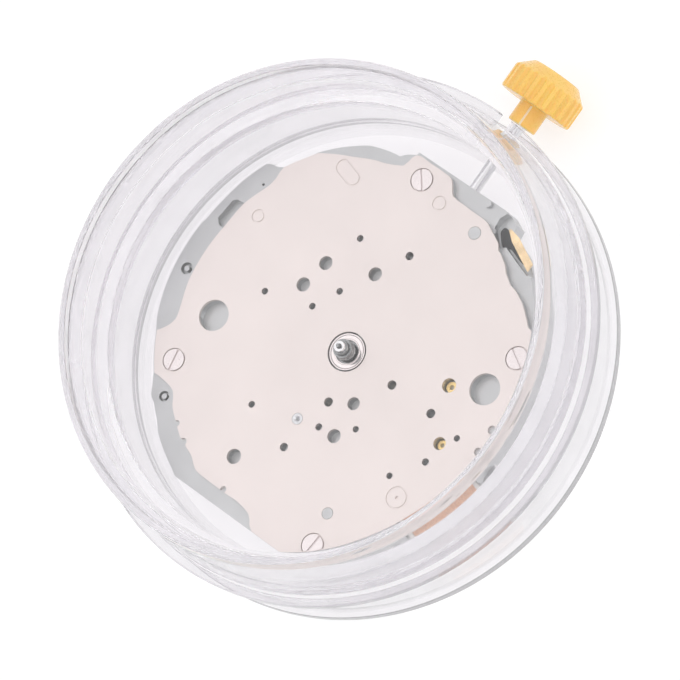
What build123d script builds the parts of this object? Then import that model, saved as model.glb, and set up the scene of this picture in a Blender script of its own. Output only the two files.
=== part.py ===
from build123d import *
from math import asin, atan2, cos, degrees, hypot, radians, sin
import os

# Quartz watch movement, dial side up, in its round clear transport case, with a setting stem and knob.
# The origin is on the hands' axis, at the case's underside. +X runs out along the stem (3 o'clock), +Y is
# 12 o'clock and +Z is the dial side. All lengths are in millimetres.

# One overrun for every cut, and the running clearances
overrun = 0.4
pivot_clearance = 0.02
shaft_clearance = 0.03
seat_gap = 0.02

# Clear case: base with foot, flange and spigot; lid with a raised stacking rim
case_wall = 1.2
case_room = 2.188
base_floor = 1.2
base_wall_step = 0.1
foot_overhang = 0.42
foot_thickness = 0.8
flange_overhang = 0.75
flange_thickness = 0.8
flange_top = 6.32
spigot_wall = 1.0
spigot_height = 2.2
spigot_clearance = 0.05
lid_height = 7.78
lid_taper = 0.57
lid_plate = 1.3
lid_rim_height = 0.9
lid_rim_width = 0.53
lid_edge_radius = 0.3
stem_slot_width = 1.3

# Main plate: plate_radius is the unit of all shares below. It has a flat at 9 and at 3 o'clock
plate_radius = 15.6
left_flat_distance = 15.35
right_flat_distance = 15.65
edge_point_step = 3
back_depth = 0.83
plate_thickness = 2.8
rim_step = 0.35
web_thickness = 0.25
floor_thickness = 0.3

# Dial-side plate
cover_thickness = 0.3
cover_flat_inset = 0.04
locating_radius = 1.24
locating_depth = 0.95
sight_depth = 0.65
centre_opening_radius = 1.57
mark_depth = 0.08
mark_width = 0.12

# Screws
plate_screw_head_radius = 0.85
plate_screw_head_height = 0.25
plate_screw_radius = 0.4
plate_screw_gap = 0.09
counterbore_depth = 0.22
back_screw_head_radius = 0.75
back_screw_head_height = 0.3
back_screw_radius = 0.35
screw_length = 1.3
slot_width = 0.16
slot_depth = 0.17

# Hands' posts, as heights above the dial-side plate
hour_pipe_radius = 0.76
hour_pipe_bore = 0.58
hour_pipe_height = 0.95
cannon_radius = 0.55
cannon_height = 1.3
cannon_tip_radius = 0.43
cannon_tip_height = 1.6
cannon_tube_radius = 0.33
cannon_bore = 0.2
second_pivot_radius = 0.13
second_pivot_height = 1.92
arbor_radius = 0.15
wheel_arbor_radius = 0.12
centre_tube_radius = 0.55

# Wheel train: thickness of the wheels, the air between them, and their counts of teeth
wheel_thickness = 0.14
wheel_gap = 0.12
pinion_overlap = 0.06
second_pinion_teeth = 8
third_wheel_teeth = 60
third_pinion_teeth = 8
centre_wheel_teeth = 64
second_wheel_teeth = 48
drive_pinion_teeth = 16
drive_wheel_teeth = 60
rotor_pinion_teeth = 6
cannon_teeth = 12
minute_wheel_teeth = 36
minute_pinion_teeth = 10
hour_wheel_teeth = 40
setting_wheel_teeth = 24
minute_stud_distance = 3.0
stud_radius = 0.25

# Stepping motor
rotor_magnet_radius = 0.75
rotor_gap = 0.2
stator_thickness = 0.4
stator_ring_radius = 1.75
stator_arm_width = 1.2
stator_slit = 0.16
coil_inset = 0.3
coil_angle = -111
coil_half_length = 3.2
coil_radius = 0.9
coil_cheek_radius = 1.0
coil_cheek = 0.3
coil_sleeve_radius = 0.65
core_half_length = 4.7
core_width = 1.0
core_thickness = 0.5
coil_room = 0.15

# Battery, its clamp and its contact
battery_radius = 4.75
battery_height = 2.1
battery_cap_radius = 3.9
battery_rim = 0.3
battery_step = 0.2
battery_contact_angle = -20
battery_room = 0.2
clamp_thickness = 0.25
clamp_width = 2.4
clamp_angle = 60
clamp_foot = 1.3
contact_thickness = 0.12
contact_width = 0.8
contact_length = 4.2
contact_gap = 0.06

# Train bridge, circuit board and circuit cover
bridge_thickness = 0.3
bridge_margin = 0.65
ear_radius = 1.0
board_thickness = 0.2
board_inset = 1.4
board_width = 7.2
board_start = 15
board_end = 84
sheet_thickness = 0.2
sheet_margin = 0.3
chip_side = 2.4
chip_height = 0.35
quartz_radius = 0.75
quartz_length = 5.5
quartz_angle = 50
chip_angle = 40

# Setting mechanism
stem_depth = 1.65
stem_radius = 0.45
pilot_radius = 0.25
pilot_start = 7.0
pilot_length = 1.9
square_length = 2.0
shoulder_length = 0.5
groove_width = 0.6
groove_radius = 0.22
stem_pull = 1.0
keyless_wall = 1.6
knob_gap = 0.15
clutch_radius = 0.8
clutch_length = 1.2
clutch_groove_radius = 0.5
clutch_groove_width = 0.3
clutch_teeth = 12
clutch_start = 9.1
lever_thickness = 0.2
lever_arm = 2.2
lever_radius = 0.55
lever_pin_radius = 0.2
lever_stud_radius = 0.3
yoke_thickness = 0.2
yoke_width = 0.7
yoke_reach = 2.2
setting_wheel_thickness = 0.28

# Setting knob
hub_radius = 1.19
knob_clearance = 0.13
hub_length = 1.77
hub_slit = 0.14
knob_radius = 3.08
knob_length = 3.05
knob_face_radius = 2.0
knob_chamfer = 1.0
knob_ribs = 24
rib_groove_radius = 0.24
rib_groove_depth = 0.17
knob_bore_depth = 1.05

# Gold contact spring at the rim
rim_spring_angle = -26
rim_spring_length = 3.7
rim_spring_width = 0.62
rim_spring_thickness = 0.2
rim_spring_tip_share = 0.35
rim_spring_drop = 0.8
rim_spring_room_gap = 0.2
rim_post_radius = 0.22
rim_pocket_depth = 0.6

# Places, as shares of plate_radius from the hands' axis
case_centre_shares = (0.03205, 0.07372)
plate_centre_shares = (-0.00641, 0.07372)
battery_centre_shares = (-0.35256, 0.55128)
quartz_centre_shares = (0.45325, 0.54015)
plate_screw_shares = [(-0.522, 0.758), (0.897, 0.203), (-0.860, -0.448), (0.443, -0.771)]
locating_shares = [(-0.230, 0.717), (0.232, -0.725)]
third_axis_shares = (-0.252, -0.075)
drive_axis_shares = (-0.007, -0.304)
rotor_axis_shares = (-0.012, -0.563)
bridge_screw_shares = [(0.340, 0.141), (-0.571, -0.167), (0.238, -0.526), (-0.320, -0.455)]
cover_screw_shares = [(0.718, 0.365), (0.141, 0.558)]
pin_shares = [(0.826, -0.199, 0.032), (-0.694, -0.416, 0.028)]
bush_shares = [(0.149, -0.557, 0.036), (-0.106, -0.693, 0.032)]
jewel_shares = (-0.406, 0.012, 0.029)

# Open sight holes: place, then radius, all as shares of plate_radius
sight_hole_shares = [
    (-0.735, 0.178, 0.038), (0.147, 0.408, 0.036), (0.296, 0.374, 0.035), (0.388, 0.116, 0.035),
    (-0.371, -0.206, 0.035), (-0.188, -0.192, 0.032), (0.556, 0.019, 0.021), (-0.556, -0.017, 0.021),
    (0.012, 0.561, 0.017), (-0.478, 0.262, 0.017), (0.085, 0.298, 0.017), (0.221, 0.222, 0.017),
    (0.491, 0.296, 0.017), (-0.378, -0.110, 0.018), (-0.283, -0.281, 0.016), (-0.372, -0.573, 0.016),
    (-0.218, -0.688, 0.018), (-0.038, -0.753, 0.016),
]
edge_notch_shares = [
    (-0.033, -0.885, 0.020), (0.091, -0.880, 0.022),
    (-0.768, 0.542, 0.016), (-0.824, 0.455, 0.020), (-0.896, 0.122, 0.016),
]
ring_mark_shares = [(-0.438, -0.672, 0.056), (0.850, 0.049, 0.038), (0.297, 0.831, 0.035)]
oval_mark_shares = (0.724, 0.559)
oval_mark_angle = 75
oval_mark_length_share = 0.16
oval_mark_width_share = 0.08
rim_post_shares = [(-0.117, 1.015, 0.031), (-0.697, 0.707, 0.027), (0.440, 0.932, 0.007)]
rim_pad_shares = [(0.981, -0.158, 0.017)]
rim_pocket_shares = [
    (0.142, 0.90), (0.152, 1.010), (0.178, 1.035), (0.290, 1.022), (0.306, 1.004), (0.316, 0.90),
]
spring_room_shares = [
    (0.901, -0.252), (0.955, -0.246), (1.05, -0.290), (1.05, -0.60), (0.812, -0.565), (0.797, -0.540),
    (0.829, -0.440), (0.856, -0.362), (0.826, -0.330), (0.850, -0.303),
]
rim_spring_shares = (0.886, -0.432)

# Edge of the main plate: angle about the plate's centre, then distance from it as a share of plate_radius
rim_edge_shares = [
    (-168, 1.06), (-149, 1.060), (-141, 1.034), (-134, 1.010), (-128, 0.998), (-113, 0.988), (-98, 0.980),
    (-87, 0.974), (-75, 0.983), (-63, 1.007), (-54, 1.020), (-40, 1.027), (-36.8, 1.031), (-33, 1.034),
    (-29, 1.024), (-25, 1.014), (-23.2, 1.020), (-22, 1.055), (-18, 1.06), (13.4, 1.06), (14.2, 1.024),
    (16.4, 1.015), (17.9, 1.006), (19, 0.994), (22, 1.008), (28.7, 1.029), (37.7, 1.024), (44.4, 1.018),
    (47.5, 1.004), (54.5, 0.998), (56.4, 1.013), (57.9, 1.042), (59.2, 1.059), (65.8, 1.050), (73.2, 1.034),
    (82, 1.022), (83.3, 1.028), (92, 1.021), (106, 1.011), (113.3, 1.002), (117, 0.990), (129.4, 0.983),
    (133.5, 0.994), (136, 1.006), (138.5, 0.996), (143.6, 0.999), (147.4, 1.013), (159, 1.025), (165, 1.045),
    (180, 1.06),
]

# Edge of the dial-side plate, in the same way
cover_edge_shares = [
    (-169.4, 0.972), (-168.3, 0.988), (-166.8, 1.05), (-149, 1.060), (-141, 1.034), (-134, 1.010),
    (-128, 0.998), (-113, 0.988), (-98, 0.980), (-87, 0.974), (-75, 0.983), (-63, 1.007), (-54.3, 1.020), (-53, 0.999),
    (-50.8, 0.992), (-45.5, 0.975), (-41.5, 0.953), (-39.3, 0.933), (-35.2, 0.927), (-33, 0.936),
    (-28.9, 0.937), (-27.6, 0.933), (-25.7, 0.949), (-20.7, 0.951), (-18.3, 0.957), (-16.1, 0.951),
    (-11.8, 0.934), (-6.3, 0.923), (-4, 0.924), (-2.8, 0.936), (-1.7, 0.960), (-0.3, 0.984), (1, 0.993),
    (7.8, 1.004), (11.9, 1.019), (13.2, 1.015), (14.1, 0.999), (14.7, 0.973), (15.8, 0.946), (18.8, 0.938),
    (22.4, 0.938), (25.2, 0.946), (32.1, 0.957), (38.9, 0.982), (43.3, 1.000), (47.1, 0.991), (54.4, 0.982),
    (56, 0.966), (57.6, 0.945), (60.2, 0.928), (64.6, 0.923), (70.1, 0.921), (77.3, 0.901), (81.5, 0.896),
    (92.1, 0.889), (99.6, 0.886), (107.5, 0.874), (111, 0.873), (113.3, 0.879), (115.3, 0.904),
    (116.7, 0.940), (117.4, 0.967), (130.4, 0.962), (131.4, 0.942), (133.8, 0.906), (135.7, 0.883), (137.5, 0.872),
    (139.3, 0.875), (142.5, 0.891), (148.1, 0.896), (153.2, 0.904), (157.9, 0.899), (160.8, 0.899),
    (163.8, 0.917), (165.4, 0.923), (168, 0.918), (171.4, 0.909), (176, 0.901), (183, 0.898), (186.4, 0.909),
    (188.6, 0.923), (190, 0.948),
]

# Levels, from the case's underside up
back_z = base_floor + seat_gap
plate_bottom = back_z + back_depth
plate_top = plate_bottom + plate_thickness
cover_top = plate_top + cover_thickness
stem_z = plate_top - stem_depth
rim_z = plate_top - rim_step
battery_z = back_z + clamp_thickness
battery_top = battery_z + battery_height
bridge_z = plate_bottom - bridge_thickness
board_z = plate_bottom - board_thickness
sheet_z = board_z - sheet_thickness

# Levels of the train, from the bridge up: drive wheel, second wheel, third wheel, centre wheel
drive_wheel_z = plate_bottom + 1.75 * wheel_gap
second_wheel_z = drive_wheel_z + wheel_thickness + wheel_gap
third_wheel_z = second_wheel_z + wheel_thickness + 1.15 * wheel_gap
centre_wheel_z = third_wheel_z + wheel_thickness + 1.8 * wheel_gap
centre_wheel_top = centre_wheel_z + wheel_thickness
train_ceiling = centre_wheel_top + 0.8 * wheel_gap
motion_floor = train_ceiling + web_thickness
cannon_gear_z = motion_floor + 3 * wheel_gap
minute_wheel_z = cannon_gear_z + 0.7 * wheel_gap
minute_pinion_z = minute_wheel_z + wheel_thickness
hour_wheel_z = minute_pinion_z + 2 * wheel_gap
lever_z = stem_z + stem_radius + 0.6 * wheel_gap
stator_z = stem_z - 0.5 * wheel_gap
stator_ceiling = stator_z + stator_thickness + 0.5 * wheel_gap


def place(shares):
    """Point on the plate for a pair of shares of plate_radius."""
    return (shares[0] * plate_radius, shares[1] * plate_radius)


case_centre = place(case_centre_shares)
plate_centre = place(plate_centre_shares)
battery_centre = place(battery_centre_shares)
quartz_centre = place(quartz_centre_shares)
third_axis = place(third_axis_shares)
drive_axis = place(drive_axis_shares)
rotor_axis = place(rotor_axis_shares)
centre_axis = (0, 0)
minute_axis = (minute_stud_distance, 0)


def distance(a, b):
    return hypot(b[0] - a[0], b[1] - a[1])


def bearing(a, b):
    """Direction from a to b, in degrees."""
    return degrees(atan2(b[1] - a[1], b[0] - a[0]))


def polar(centre, radius, angle):
    return (centre[0] + radius * cos(radians(angle)), centre[1] + radius * sin(radians(angle)))


# Modules that let each wheel mesh with its pinion over the distance between their axes
third_module = distance(centre_axis, third_axis) * 2 / (second_pinion_teeth + third_wheel_teeth)
centre_module = distance(centre_axis, third_axis) * 2 / (third_pinion_teeth + centre_wheel_teeth)
drive_module = distance(centre_axis, drive_axis) * 2 / (second_wheel_teeth + drive_pinion_teeth)
rotor_module = distance(drive_axis, rotor_axis) * 2 / (drive_wheel_teeth + rotor_pinion_teeth)
motion_module = minute_stud_distance * 2 / (cannon_teeth + minute_wheel_teeth)
hour_module = minute_stud_distance * 2 / (minute_pinion_teeth + hour_wheel_teeth)
setting_axis = (minute_axis[0] + motion_module * (minute_wheel_teeth + setting_wheel_teeth) / 2, 0)


def tip_radius(teeth, module):
    return module * (teeth / 2 + 0.9)


standing = (Align.CENTER, Align.CENTER, Align.MIN)


def disc(radius, low, high, at=(0, 0)):
    """Upright cylinder between two levels."""
    return Pos(at[0], at[1], low) * Cylinder(radius, high - low, align=standing)


def cone(low_radius, high_radius, low, high, at=(0, 0)):
    """Upright cone between two levels."""
    return Pos(at[0], at[1], low) * Cone(low_radius, high_radius, high - low, align=standing)


def ring(outer, inner, low, high, at=(0, 0)):
    return disc(outer, low, high, at) - disc(inner, low - overrun, high + overrun, at)


def block(start, end, low, high):
    """Box between two corners in plan and two levels."""
    size = (end[0] - start[0], end[1] - start[1], high - low)
    return Pos(start[0], start[1], low) * Box(*size, align=(Align.MIN, Align.MIN, Align.MIN))


def bar(start, end, width, low, high):
    """Flat bar with round ends, from one point to another."""
    shape = SlotCenterToCenter(distance(start, end), width)
    middle = ((start[0] + end[0]) / 2, (start[1] + end[1]) / 2)
    return Pos(middle[0], middle[1], low) * Rot(0, 0, bearing(start, end)) * extrude(shape, high - low)


def sector(inner, outer, start, end, low, high):
    """Part of a ring about the hands' axis, between two angles."""
    outside = CenterArc((0, 0), outer, start, end - start)
    inside = CenterArc((0, 0), inner, start, end - start)
    face = make_face([outside, inside, Line(outside @ 0, inside @ 0), Line(outside @ 1, inside @ 1)])
    return Pos(0, 0, low) * extrude(face, high - low)


def along_x(radius, start, end, height):
    """Round bar along X, on the stem's line."""
    return Pos(start, 0, height) * Rot(0, 90, 0) * Cylinder(radius, end - start, align=standing)


def gear(teeth, module, low, high, at, towards, gap=False):
    """Toothed wheel with a tooth, or a gap, that faces the direction towards."""
    pitch = 360 / teeth
    offset = towards + (pitch / 2 if gap else 0)
    root = module * (teeth / 2 - 1.15)
    tip = tip_radius(teeth, module)
    profile_shares = [(root, -0.30), (tip, -0.11), (tip, 0.11), (root, 0.30)]
    points = [
        polar((0, 0), radius, offset + pitch * (tooth + share))
        for tooth in range(teeth)
        for radius, share in profile_shares
    ]
    face = make_face(Polyline(*points, close=True))
    return Pos(at[0], at[1], low) * extrude(face, high - low)


def slotted_screw(at, head_low, head_height, head_radius, radius, tip, angle, upward=True):
    """Cheese-head screw; upward means that the head's slot faces the dial side."""
    head_high = head_low + head_height
    head = disc(head_radius, head_low, head_high, at)
    face = head_high if upward else head_low
    slot = Rot(0, 0, angle) * Box(3 * head_radius, slot_width, 2 * slot_depth)
    shank = disc(radius, min(tip, head_low), max(tip, head_high), at)
    shank -= disc(head_radius, head_low, head_high, at)
    return head - Pos(at[0], at[1], face) * slot + shank


# Clear case

lid_low = flange_top + seat_gap
lid_high = flange_top + lid_height
lid_draft = lid_taper / (lid_high - lid_low)
spigot_inner_radius = plate_radius + case_room
spigot_radius = spigot_inner_radius + spigot_wall
lid_skirt_radius = spigot_radius + spigot_clearance + lid_draft * spigot_height + case_wall
lid_top_radius = lid_skirt_radius - lid_taper
base_wall_radius = lid_skirt_radius + base_wall_step
foot_radius = base_wall_radius + foot_overhang
flange_radius = base_wall_radius + flange_overhang
case_reach = max(foot_radius, flange_radius)


def make_case_base():
    """Base: floor, wall, flange that the lid sits on, spigot inside the lid, and the stem's slot."""
    top = flange_top + spigot_height
    body = disc(foot_radius, 0, foot_thickness)
    body += disc(base_wall_radius, 0, flange_top)
    body += disc(flange_radius, flange_top - flange_thickness, flange_top)
    body += disc(spigot_radius, 0, top)
    body -= disc(spigot_inner_radius, base_floor, top + overrun)
    body = Pos(case_centre[0], case_centre[1], 0) * body
    half = stem_slot_width / 2
    reach = case_centre[0] + case_reach + overrun
    slot = block((case_centre[0], -half), (reach, half), stem_z, top + overrun)
    slot += along_x(half, case_centre[0], reach, stem_z)
    return body - slot


def make_case_lid():
    """Lid: drafted skirt, top plate and raised stacking rim with a rounded edge."""
    ceiling = lid_high - lid_rim_height - lid_plate
    outer = cone(lid_skirt_radius, lid_top_radius, lid_low, lid_high, case_centre)
    outer = fillet(outer.edges().sort_by(Axis.Z)[-1], lid_edge_radius)
    inner_low = lid_skirt_radius - case_wall
    inner_high = inner_low - lid_draft * (ceiling - lid_low)
    hollow = cone(inner_low, inner_high, lid_low, ceiling, case_centre)
    mouth = disc(inner_low, lid_low - overrun, lid_low, case_centre)
    recess = disc(lid_top_radius - lid_rim_width, lid_high - lid_rim_height, lid_high + overrun, case_centre)
    return outer - hollow - mouth - recess


# Plates

def outline(edge_shares, inset, low, high):
    """Plate with an edge that runs smoothly between the given angles and radii, cut off by the two flats."""
    points = []
    closed = edge_shares + [(edge_shares[0][0] + 360, edge_shares[0][1])]
    for (start, near), (end, far) in zip(closed, closed[1:]):
        count = max(1, round((end - start) / edge_point_step))
        for step in range(count):
            along = step / count
            radius = (near + (far - near) * along) * plate_radius
            points.append(polar(plate_centre, radius, start + (end - start) * along))
    plate = Pos(0, 0, low) * extrude(make_face(Polyline(*points, close=True)), high - low)
    left, right = -(left_flat_distance - inset), right_flat_distance - inset
    return plate & block((left, -2 * plate_radius), (right, 2 * plate_radius), low, high)


def plan(shares, low, high):
    """Upright solid whose outline runs through places on the plate."""
    face = make_face(Polyline(*[place(pair) for pair in shares], close=True))
    return Pos(0, 0, low) * extrude(face, high - low)


coil_distance = plate_radius - coil_cheek_radius - coil_inset
coil_middle = polar(plate_centre, coil_distance, coil_angle)
coil_z = stator_z - core_thickness / 2


def on_coil(along):
    """Point on the coil's axis, at a distance along it from its middle."""
    return polar(coil_middle, along, coil_angle + 90)


stator_left = on_coil(-(core_half_length - core_width / 2 + 0.1 * stator_arm_width))
stator_right = on_coil(core_half_length - core_width / 2 + 0.1 * stator_arm_width)
stator_knee = (rotor_axis[0] - coil_distance * 0.52, rotor_axis[1] + stator_arm_width * 0.4)


def stator_plan(grow, low, high):
    """Stator's two arms and the ring round the rotor, grown for its pocket where asked."""
    width = stator_arm_width + 2 * grow
    shape = bar(stator_left, stator_knee, width, low, high)
    shape += bar(stator_knee, rotor_axis, width, low, high)
    shape += bar(stator_right, rotor_axis, width, low, high)
    return shape + disc(stator_ring_radius + grow, low, high, rotor_axis)


def on_coil_axis(solid):
    """Puts a solid made about the X axis on the coil's axis."""
    return Pos(coil_middle[0], coil_middle[1], coil_z) * Rot(0, 0, coil_angle + 90) * solid


def coil_bar(width, thickness, half_length):
    return on_coil_axis(Box(2 * half_length, width, thickness))


def coil_notch():
    """Room for the coil, open at the rim from top to bottom outside the coil's middle."""
    length = coil_half_length + coil_room
    reach = coil_cheek_radius + coil_room
    low = plate_bottom - overrun
    inside = Pos(0, 0, (low + coil_z + reach) / 2) * Box(2 * length, 2 * reach, coil_z + reach - low)
    outside = Pos(0, -plate_radius / 2, (low + plate_top) / 2 + overrun)
    outside = outside * Box(2 * length, plate_radius, plate_top - low + 2 * overrun)
    room = Pos(coil_middle[0], coil_middle[1], 0) * Rot(0, 0, coil_angle + 90) * (inside + outside)
    channel = coil_bar(core_width + 2 * coil_room, core_thickness, core_half_length + coil_room)
    below = extrude(channel.faces().sort_by(Axis.Z)[0], coil_z - low, dir=(0, 0, -1))
    above = extrude(channel.faces().sort_by(Axis.Z)[-1], stator_z - coil_z, dir=(0, 0, 1))
    return room + channel + below + above


def train_pocket():
    """Room for the train between the main plate and the bridge, with the upper pivots' bores."""
    low = plate_bottom - overrun
    margin = 2 * wheel_gap
    pocket = disc(tip_radius(centre_wheel_teeth, centre_module) + margin, low, train_ceiling)
    pocket += disc(tip_radius(third_wheel_teeth, third_module) + margin, low, train_ceiling, third_axis)
    pocket += disc(tip_radius(drive_wheel_teeth, rotor_module) + margin, low, train_ceiling, drive_axis)
    pocket += stator_plan(coil_room, low, stator_ceiling)
    for axis in (third_axis, drive_axis, rotor_axis):
        pocket += disc(wheel_arbor_radius + pivot_clearance, low, plate_top, axis)
        pocket += disc(3 * wheel_arbor_radius, stator_ceiling + web_thickness, plate_top + overrun, axis)
    return pocket


def motion_pocket():
    """Room on the dial side for the motion work, and the centre tube's bore."""
    high = plate_top + overrun
    margin = 2 * wheel_gap
    pocket = disc(tip_radius(hour_wheel_teeth, hour_module) + margin, motion_floor, high)
    pocket += disc(tip_radius(minute_wheel_teeth, motion_module) + margin, motion_floor, high, minute_axis)
    pocket += disc(tip_radius(setting_wheel_teeth, motion_module) + margin, motion_floor, high, setting_axis)
    return pocket + disc(centre_tube_radius, plate_bottom - overrun, high)


keyless_start = pilot_start + pilot_length - seat_gap
keyless_end = right_flat_distance - keyless_wall
keyless_low_y = -(yoke_reach + yoke_width)
keyless_high_y = lever_arm + 2 * lever_radius


def keyless_pocket():
    """Room for the stem, the clutch and the levers, with the stem's and the pilot's bores."""
    start, end = (keyless_start, keyless_low_y), (keyless_end, keyless_high_y)
    pocket = block(start, end, plate_bottom + floor_thickness, plate_top + overrun)
    pocket += along_x(pilot_radius + shaft_clearance, pilot_start - shaft_clearance, keyless_end, stem_z)
    return pocket + along_x(stem_radius + shaft_clearance, keyless_start, plate_radius + overrun, stem_z)


def battery_pocket():
    ceiling = battery_top + 2 * contact_gap + contact_thickness
    return disc(battery_radius + battery_room, plate_bottom - overrun, ceiling, battery_centre)


def quartz_pocket():
    depth = 2 * quartz_radius + battery_room + overrun
    room = Box(quartz_length + 2 * battery_room, 2 * (quartz_radius + battery_room), depth)
    height = plate_bottom + quartz_radius + battery_room / 2 - overrun / 2
    return Pos(quartz_centre[0], quartz_centre[1], height) * Rot(0, 0, quartz_angle + 90) * room


def clamp_seats():
    return [polar(battery_centre, side * (battery_radius + clamp_foot), clamp_angle) for side in (1, -1)]


def rim_details(plate):
    """Pads, sunk posts and a pocket in the plate's lowered rim, and the room of the gold spring."""
    high = plate_top + overrun
    for x, y, radius in rim_pad_shares:
        plate += disc(radius * plate_radius, plate_bottom, plate_top, place((x, y)))
    for x, y, radius in rim_post_shares:
        plate -= disc(radius * plate_radius, rim_z - rim_pocket_depth, high, place((x, y)))
        if radius * plate_radius > rim_post_radius + plate_screw_gap:
            plate += disc(rim_post_radius, rim_z - rim_pocket_depth, rim_z, place((x, y)))
    plate -= plan(rim_pocket_shares, rim_z - rim_pocket_depth, plate_top)
    return plate - plan(spring_room_shares, rim_z - rim_spring_drop, high)


def make_main_plate():
    """Main plate with its lowered rim, dial-side and back pockets, bores and posts."""
    plate = outline(rim_edge_shares, 0, plate_bottom, rim_z)
    high = plate_top + overrun
    plate += cover_plan(rim_z, plate_top)
    plate = rim_details(plate)
    plate -= train_pocket() + motion_pocket() + keyless_pocket()
    plate -= battery_pocket() + quartz_pocket() + coil_notch()
    for shares in locating_shares:
        plate -= disc(locating_radius, cover_top - locating_depth, high, place(shares))
    for x, y, radius in sight_hole_shares + bush_shares:
        plate -= disc(radius * plate_radius, plate_top - sight_depth, high, place((x, y)))
    for shares in plate_screw_shares:
        plate -= disc(plate_screw_radius + seat_gap, plate_top - screw_length, high, place(shares))
    back_screw_places = [place(shares) for shares in bridge_screw_shares + cover_screw_shares]
    for at in back_screw_places + clamp_seats():
        plate -= disc(back_screw_radius + seat_gap, plate_bottom - overrun, plate_bottom + screw_length, at)
    return plate


def cover_plan(low, high):
    """Dial-side plate's outline between two levels."""
    return outline(cover_edge_shares, cover_flat_inset, low, high)


def ring_mark(at, radius):
    """Shallow ring cut in the dial-side plate's face."""
    return ring(radius, radius - mark_width, cover_top - mark_depth, cover_top + overrun, at)


def oval_mark():
    """Shallow oval groove in the dial-side plate's face."""
    at = place(oval_mark_shares)
    length, width = oval_mark_length_share * plate_radius, oval_mark_width_share * plate_radius
    outer = SlotOverall(length, width)
    inner = SlotOverall(length - 2 * mark_width, width - 2 * mark_width)
    groove = extrude(outer - inner, mark_depth + overrun)
    return Pos(at[0], at[1], cover_top - mark_depth) * Rot(0, 0, oval_mark_angle) * groove


def make_dial_side_plate():
    """Dial-side plate with its centre opening, screw seats, sight holes and pressed marks."""
    plate = cover_plan(plate_top, cover_top)
    low, high = plate_top - overrun, cover_top + overrun
    plate -= disc(centre_opening_radius, low, high)
    for shares in plate_screw_shares:
        at = place(shares)
        plate -= disc(plate_screw_radius + seat_gap, low, high, at)
        plate -= disc(plate_screw_head_radius + plate_screw_gap, cover_top - counterbore_depth, high, at)
    for shares in locating_shares:
        plate -= disc(locating_radius, low, high, place(shares))
    for x, y, radius in sight_hole_shares + bush_shares + [jewel_shares] + edge_notch_shares:
        plate -= disc(radius * plate_radius, low, high, place((x, y)))
    for x, y, radius in pin_shares:
        plate -= disc(radius * plate_radius + pivot_clearance, low, high, place((x, y)))
    for axis in (third_axis, drive_axis, rotor_axis):
        plate -= disc(3 * wheel_arbor_radius, low, high, axis)
    for x, y, radius in ring_mark_shares:
        plate -= ring_mark(place((x, y)), radius * plate_radius)
    first = ring_mark_shares[0]
    plate -= disc(mark_width, cover_top - 2 * mark_depth, high, place(first[:2]))
    return plate - oval_mark()


def make_plate_screws():
    """Four slotted screws that hold the dial-side plate."""
    slots = (10, 40, -5, 60)
    seat = cover_top - counterbore_depth
    return [
        slotted_screw(
            place(shares), seat, plate_screw_head_height, plate_screw_head_radius,
            plate_screw_radius, plate_top - screw_length + seat_gap, slot,
        )
        for shares, slot in zip(plate_screw_shares, slots)
    ]


def make_locating_pins():
    """Two pins of the main plate that line up the dial-side plate, flush with its face."""
    return [disc(radius * plate_radius, plate_top, cover_top, place((x, y))) for x, y, radius in pin_shares]


def make_train_bushes():
    """Two brass bushes seen at the bottom of their sight holes."""
    low = plate_top - sight_depth
    bushes = []
    for x, y, share in bush_shares:
        radius = share * plate_radius
        bushes.append(ring(0.8 * radius, 0.35 * radius, low, low + sight_depth / 2, place((x, y))))
    return bushes


def make_plate_jewel():
    """Jewel bearing set flush in the dial-side plate."""
    at = place(jewel_shares[:2])
    radius = jewel_shares[2] * plate_radius - pivot_clearance
    body = ring(radius, wheel_arbor_radius, plate_top, cover_top, at)
    return body - cone(wheel_arbor_radius, 0.8 * radius, cover_top - mark_depth, cover_top + mark_depth, at)


# Motion work and train

def make_centre_tube():
    """Bush in the main plate that the cannon pinion turns in."""
    return ring(
        centre_tube_radius - pivot_clearance / 2, cannon_tube_radius + pivot_clearance,
        centre_wheel_top + wheel_gap / 3, cannon_gear_z - wheel_gap / 3,
    )


def make_cannon_pinion():
    """Cannon pinion: its leaves, the tube below and the stepped post for the minute hand."""
    body = gear(cannon_teeth, motion_module, cannon_gear_z, cannon_gear_z + 3 * wheel_gap, centre_axis, 0)
    body += disc(cannon_tube_radius, centre_wheel_z - wheel_gap / 2, cannon_gear_z)
    body += disc(cannon_radius, cannon_gear_z, cover_top + cannon_height)
    body += disc(cannon_tip_radius, cannon_gear_z, cover_top + cannon_tip_height)
    return body - disc(cannon_bore, plate_bottom, cover_top + second_pivot_height)


def make_centre_wheel():
    """Centre wheel, held by friction on the cannon pinion's tube."""
    low = centre_wheel_z
    towards = bearing(centre_axis, third_axis)
    body = gear(centre_wheel_teeth, centre_module, low, centre_wheel_top, centre_axis, towards)
    pitch_radius = centre_module * centre_wheel_teeth / 2
    return windowed(body, pitch_radius, centre_axis, low) - wheel_bore(cannon_tube_radius + seat_gap, low)


def windowed(body, pitch_radius, at, low):
    """Cuts four round windows in a wheel."""
    for turn in range(4):
        window = polar(at, 0.55 * pitch_radius, 45 + 90 * turn)
        body -= disc(0.27 * pitch_radius, low - overrun, low + wheel_thickness, window)
    return body


def wheel_bore(radius, low):
    return disc(radius, low - overrun, low + wheel_thickness + overrun)


def wheel_arbor(at):
    """Arbor from the bridge's jewel to the main plate's bore."""
    return disc(wheel_arbor_radius, bridge_z + seat_gap, stator_ceiling + web_thickness, at)


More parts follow.
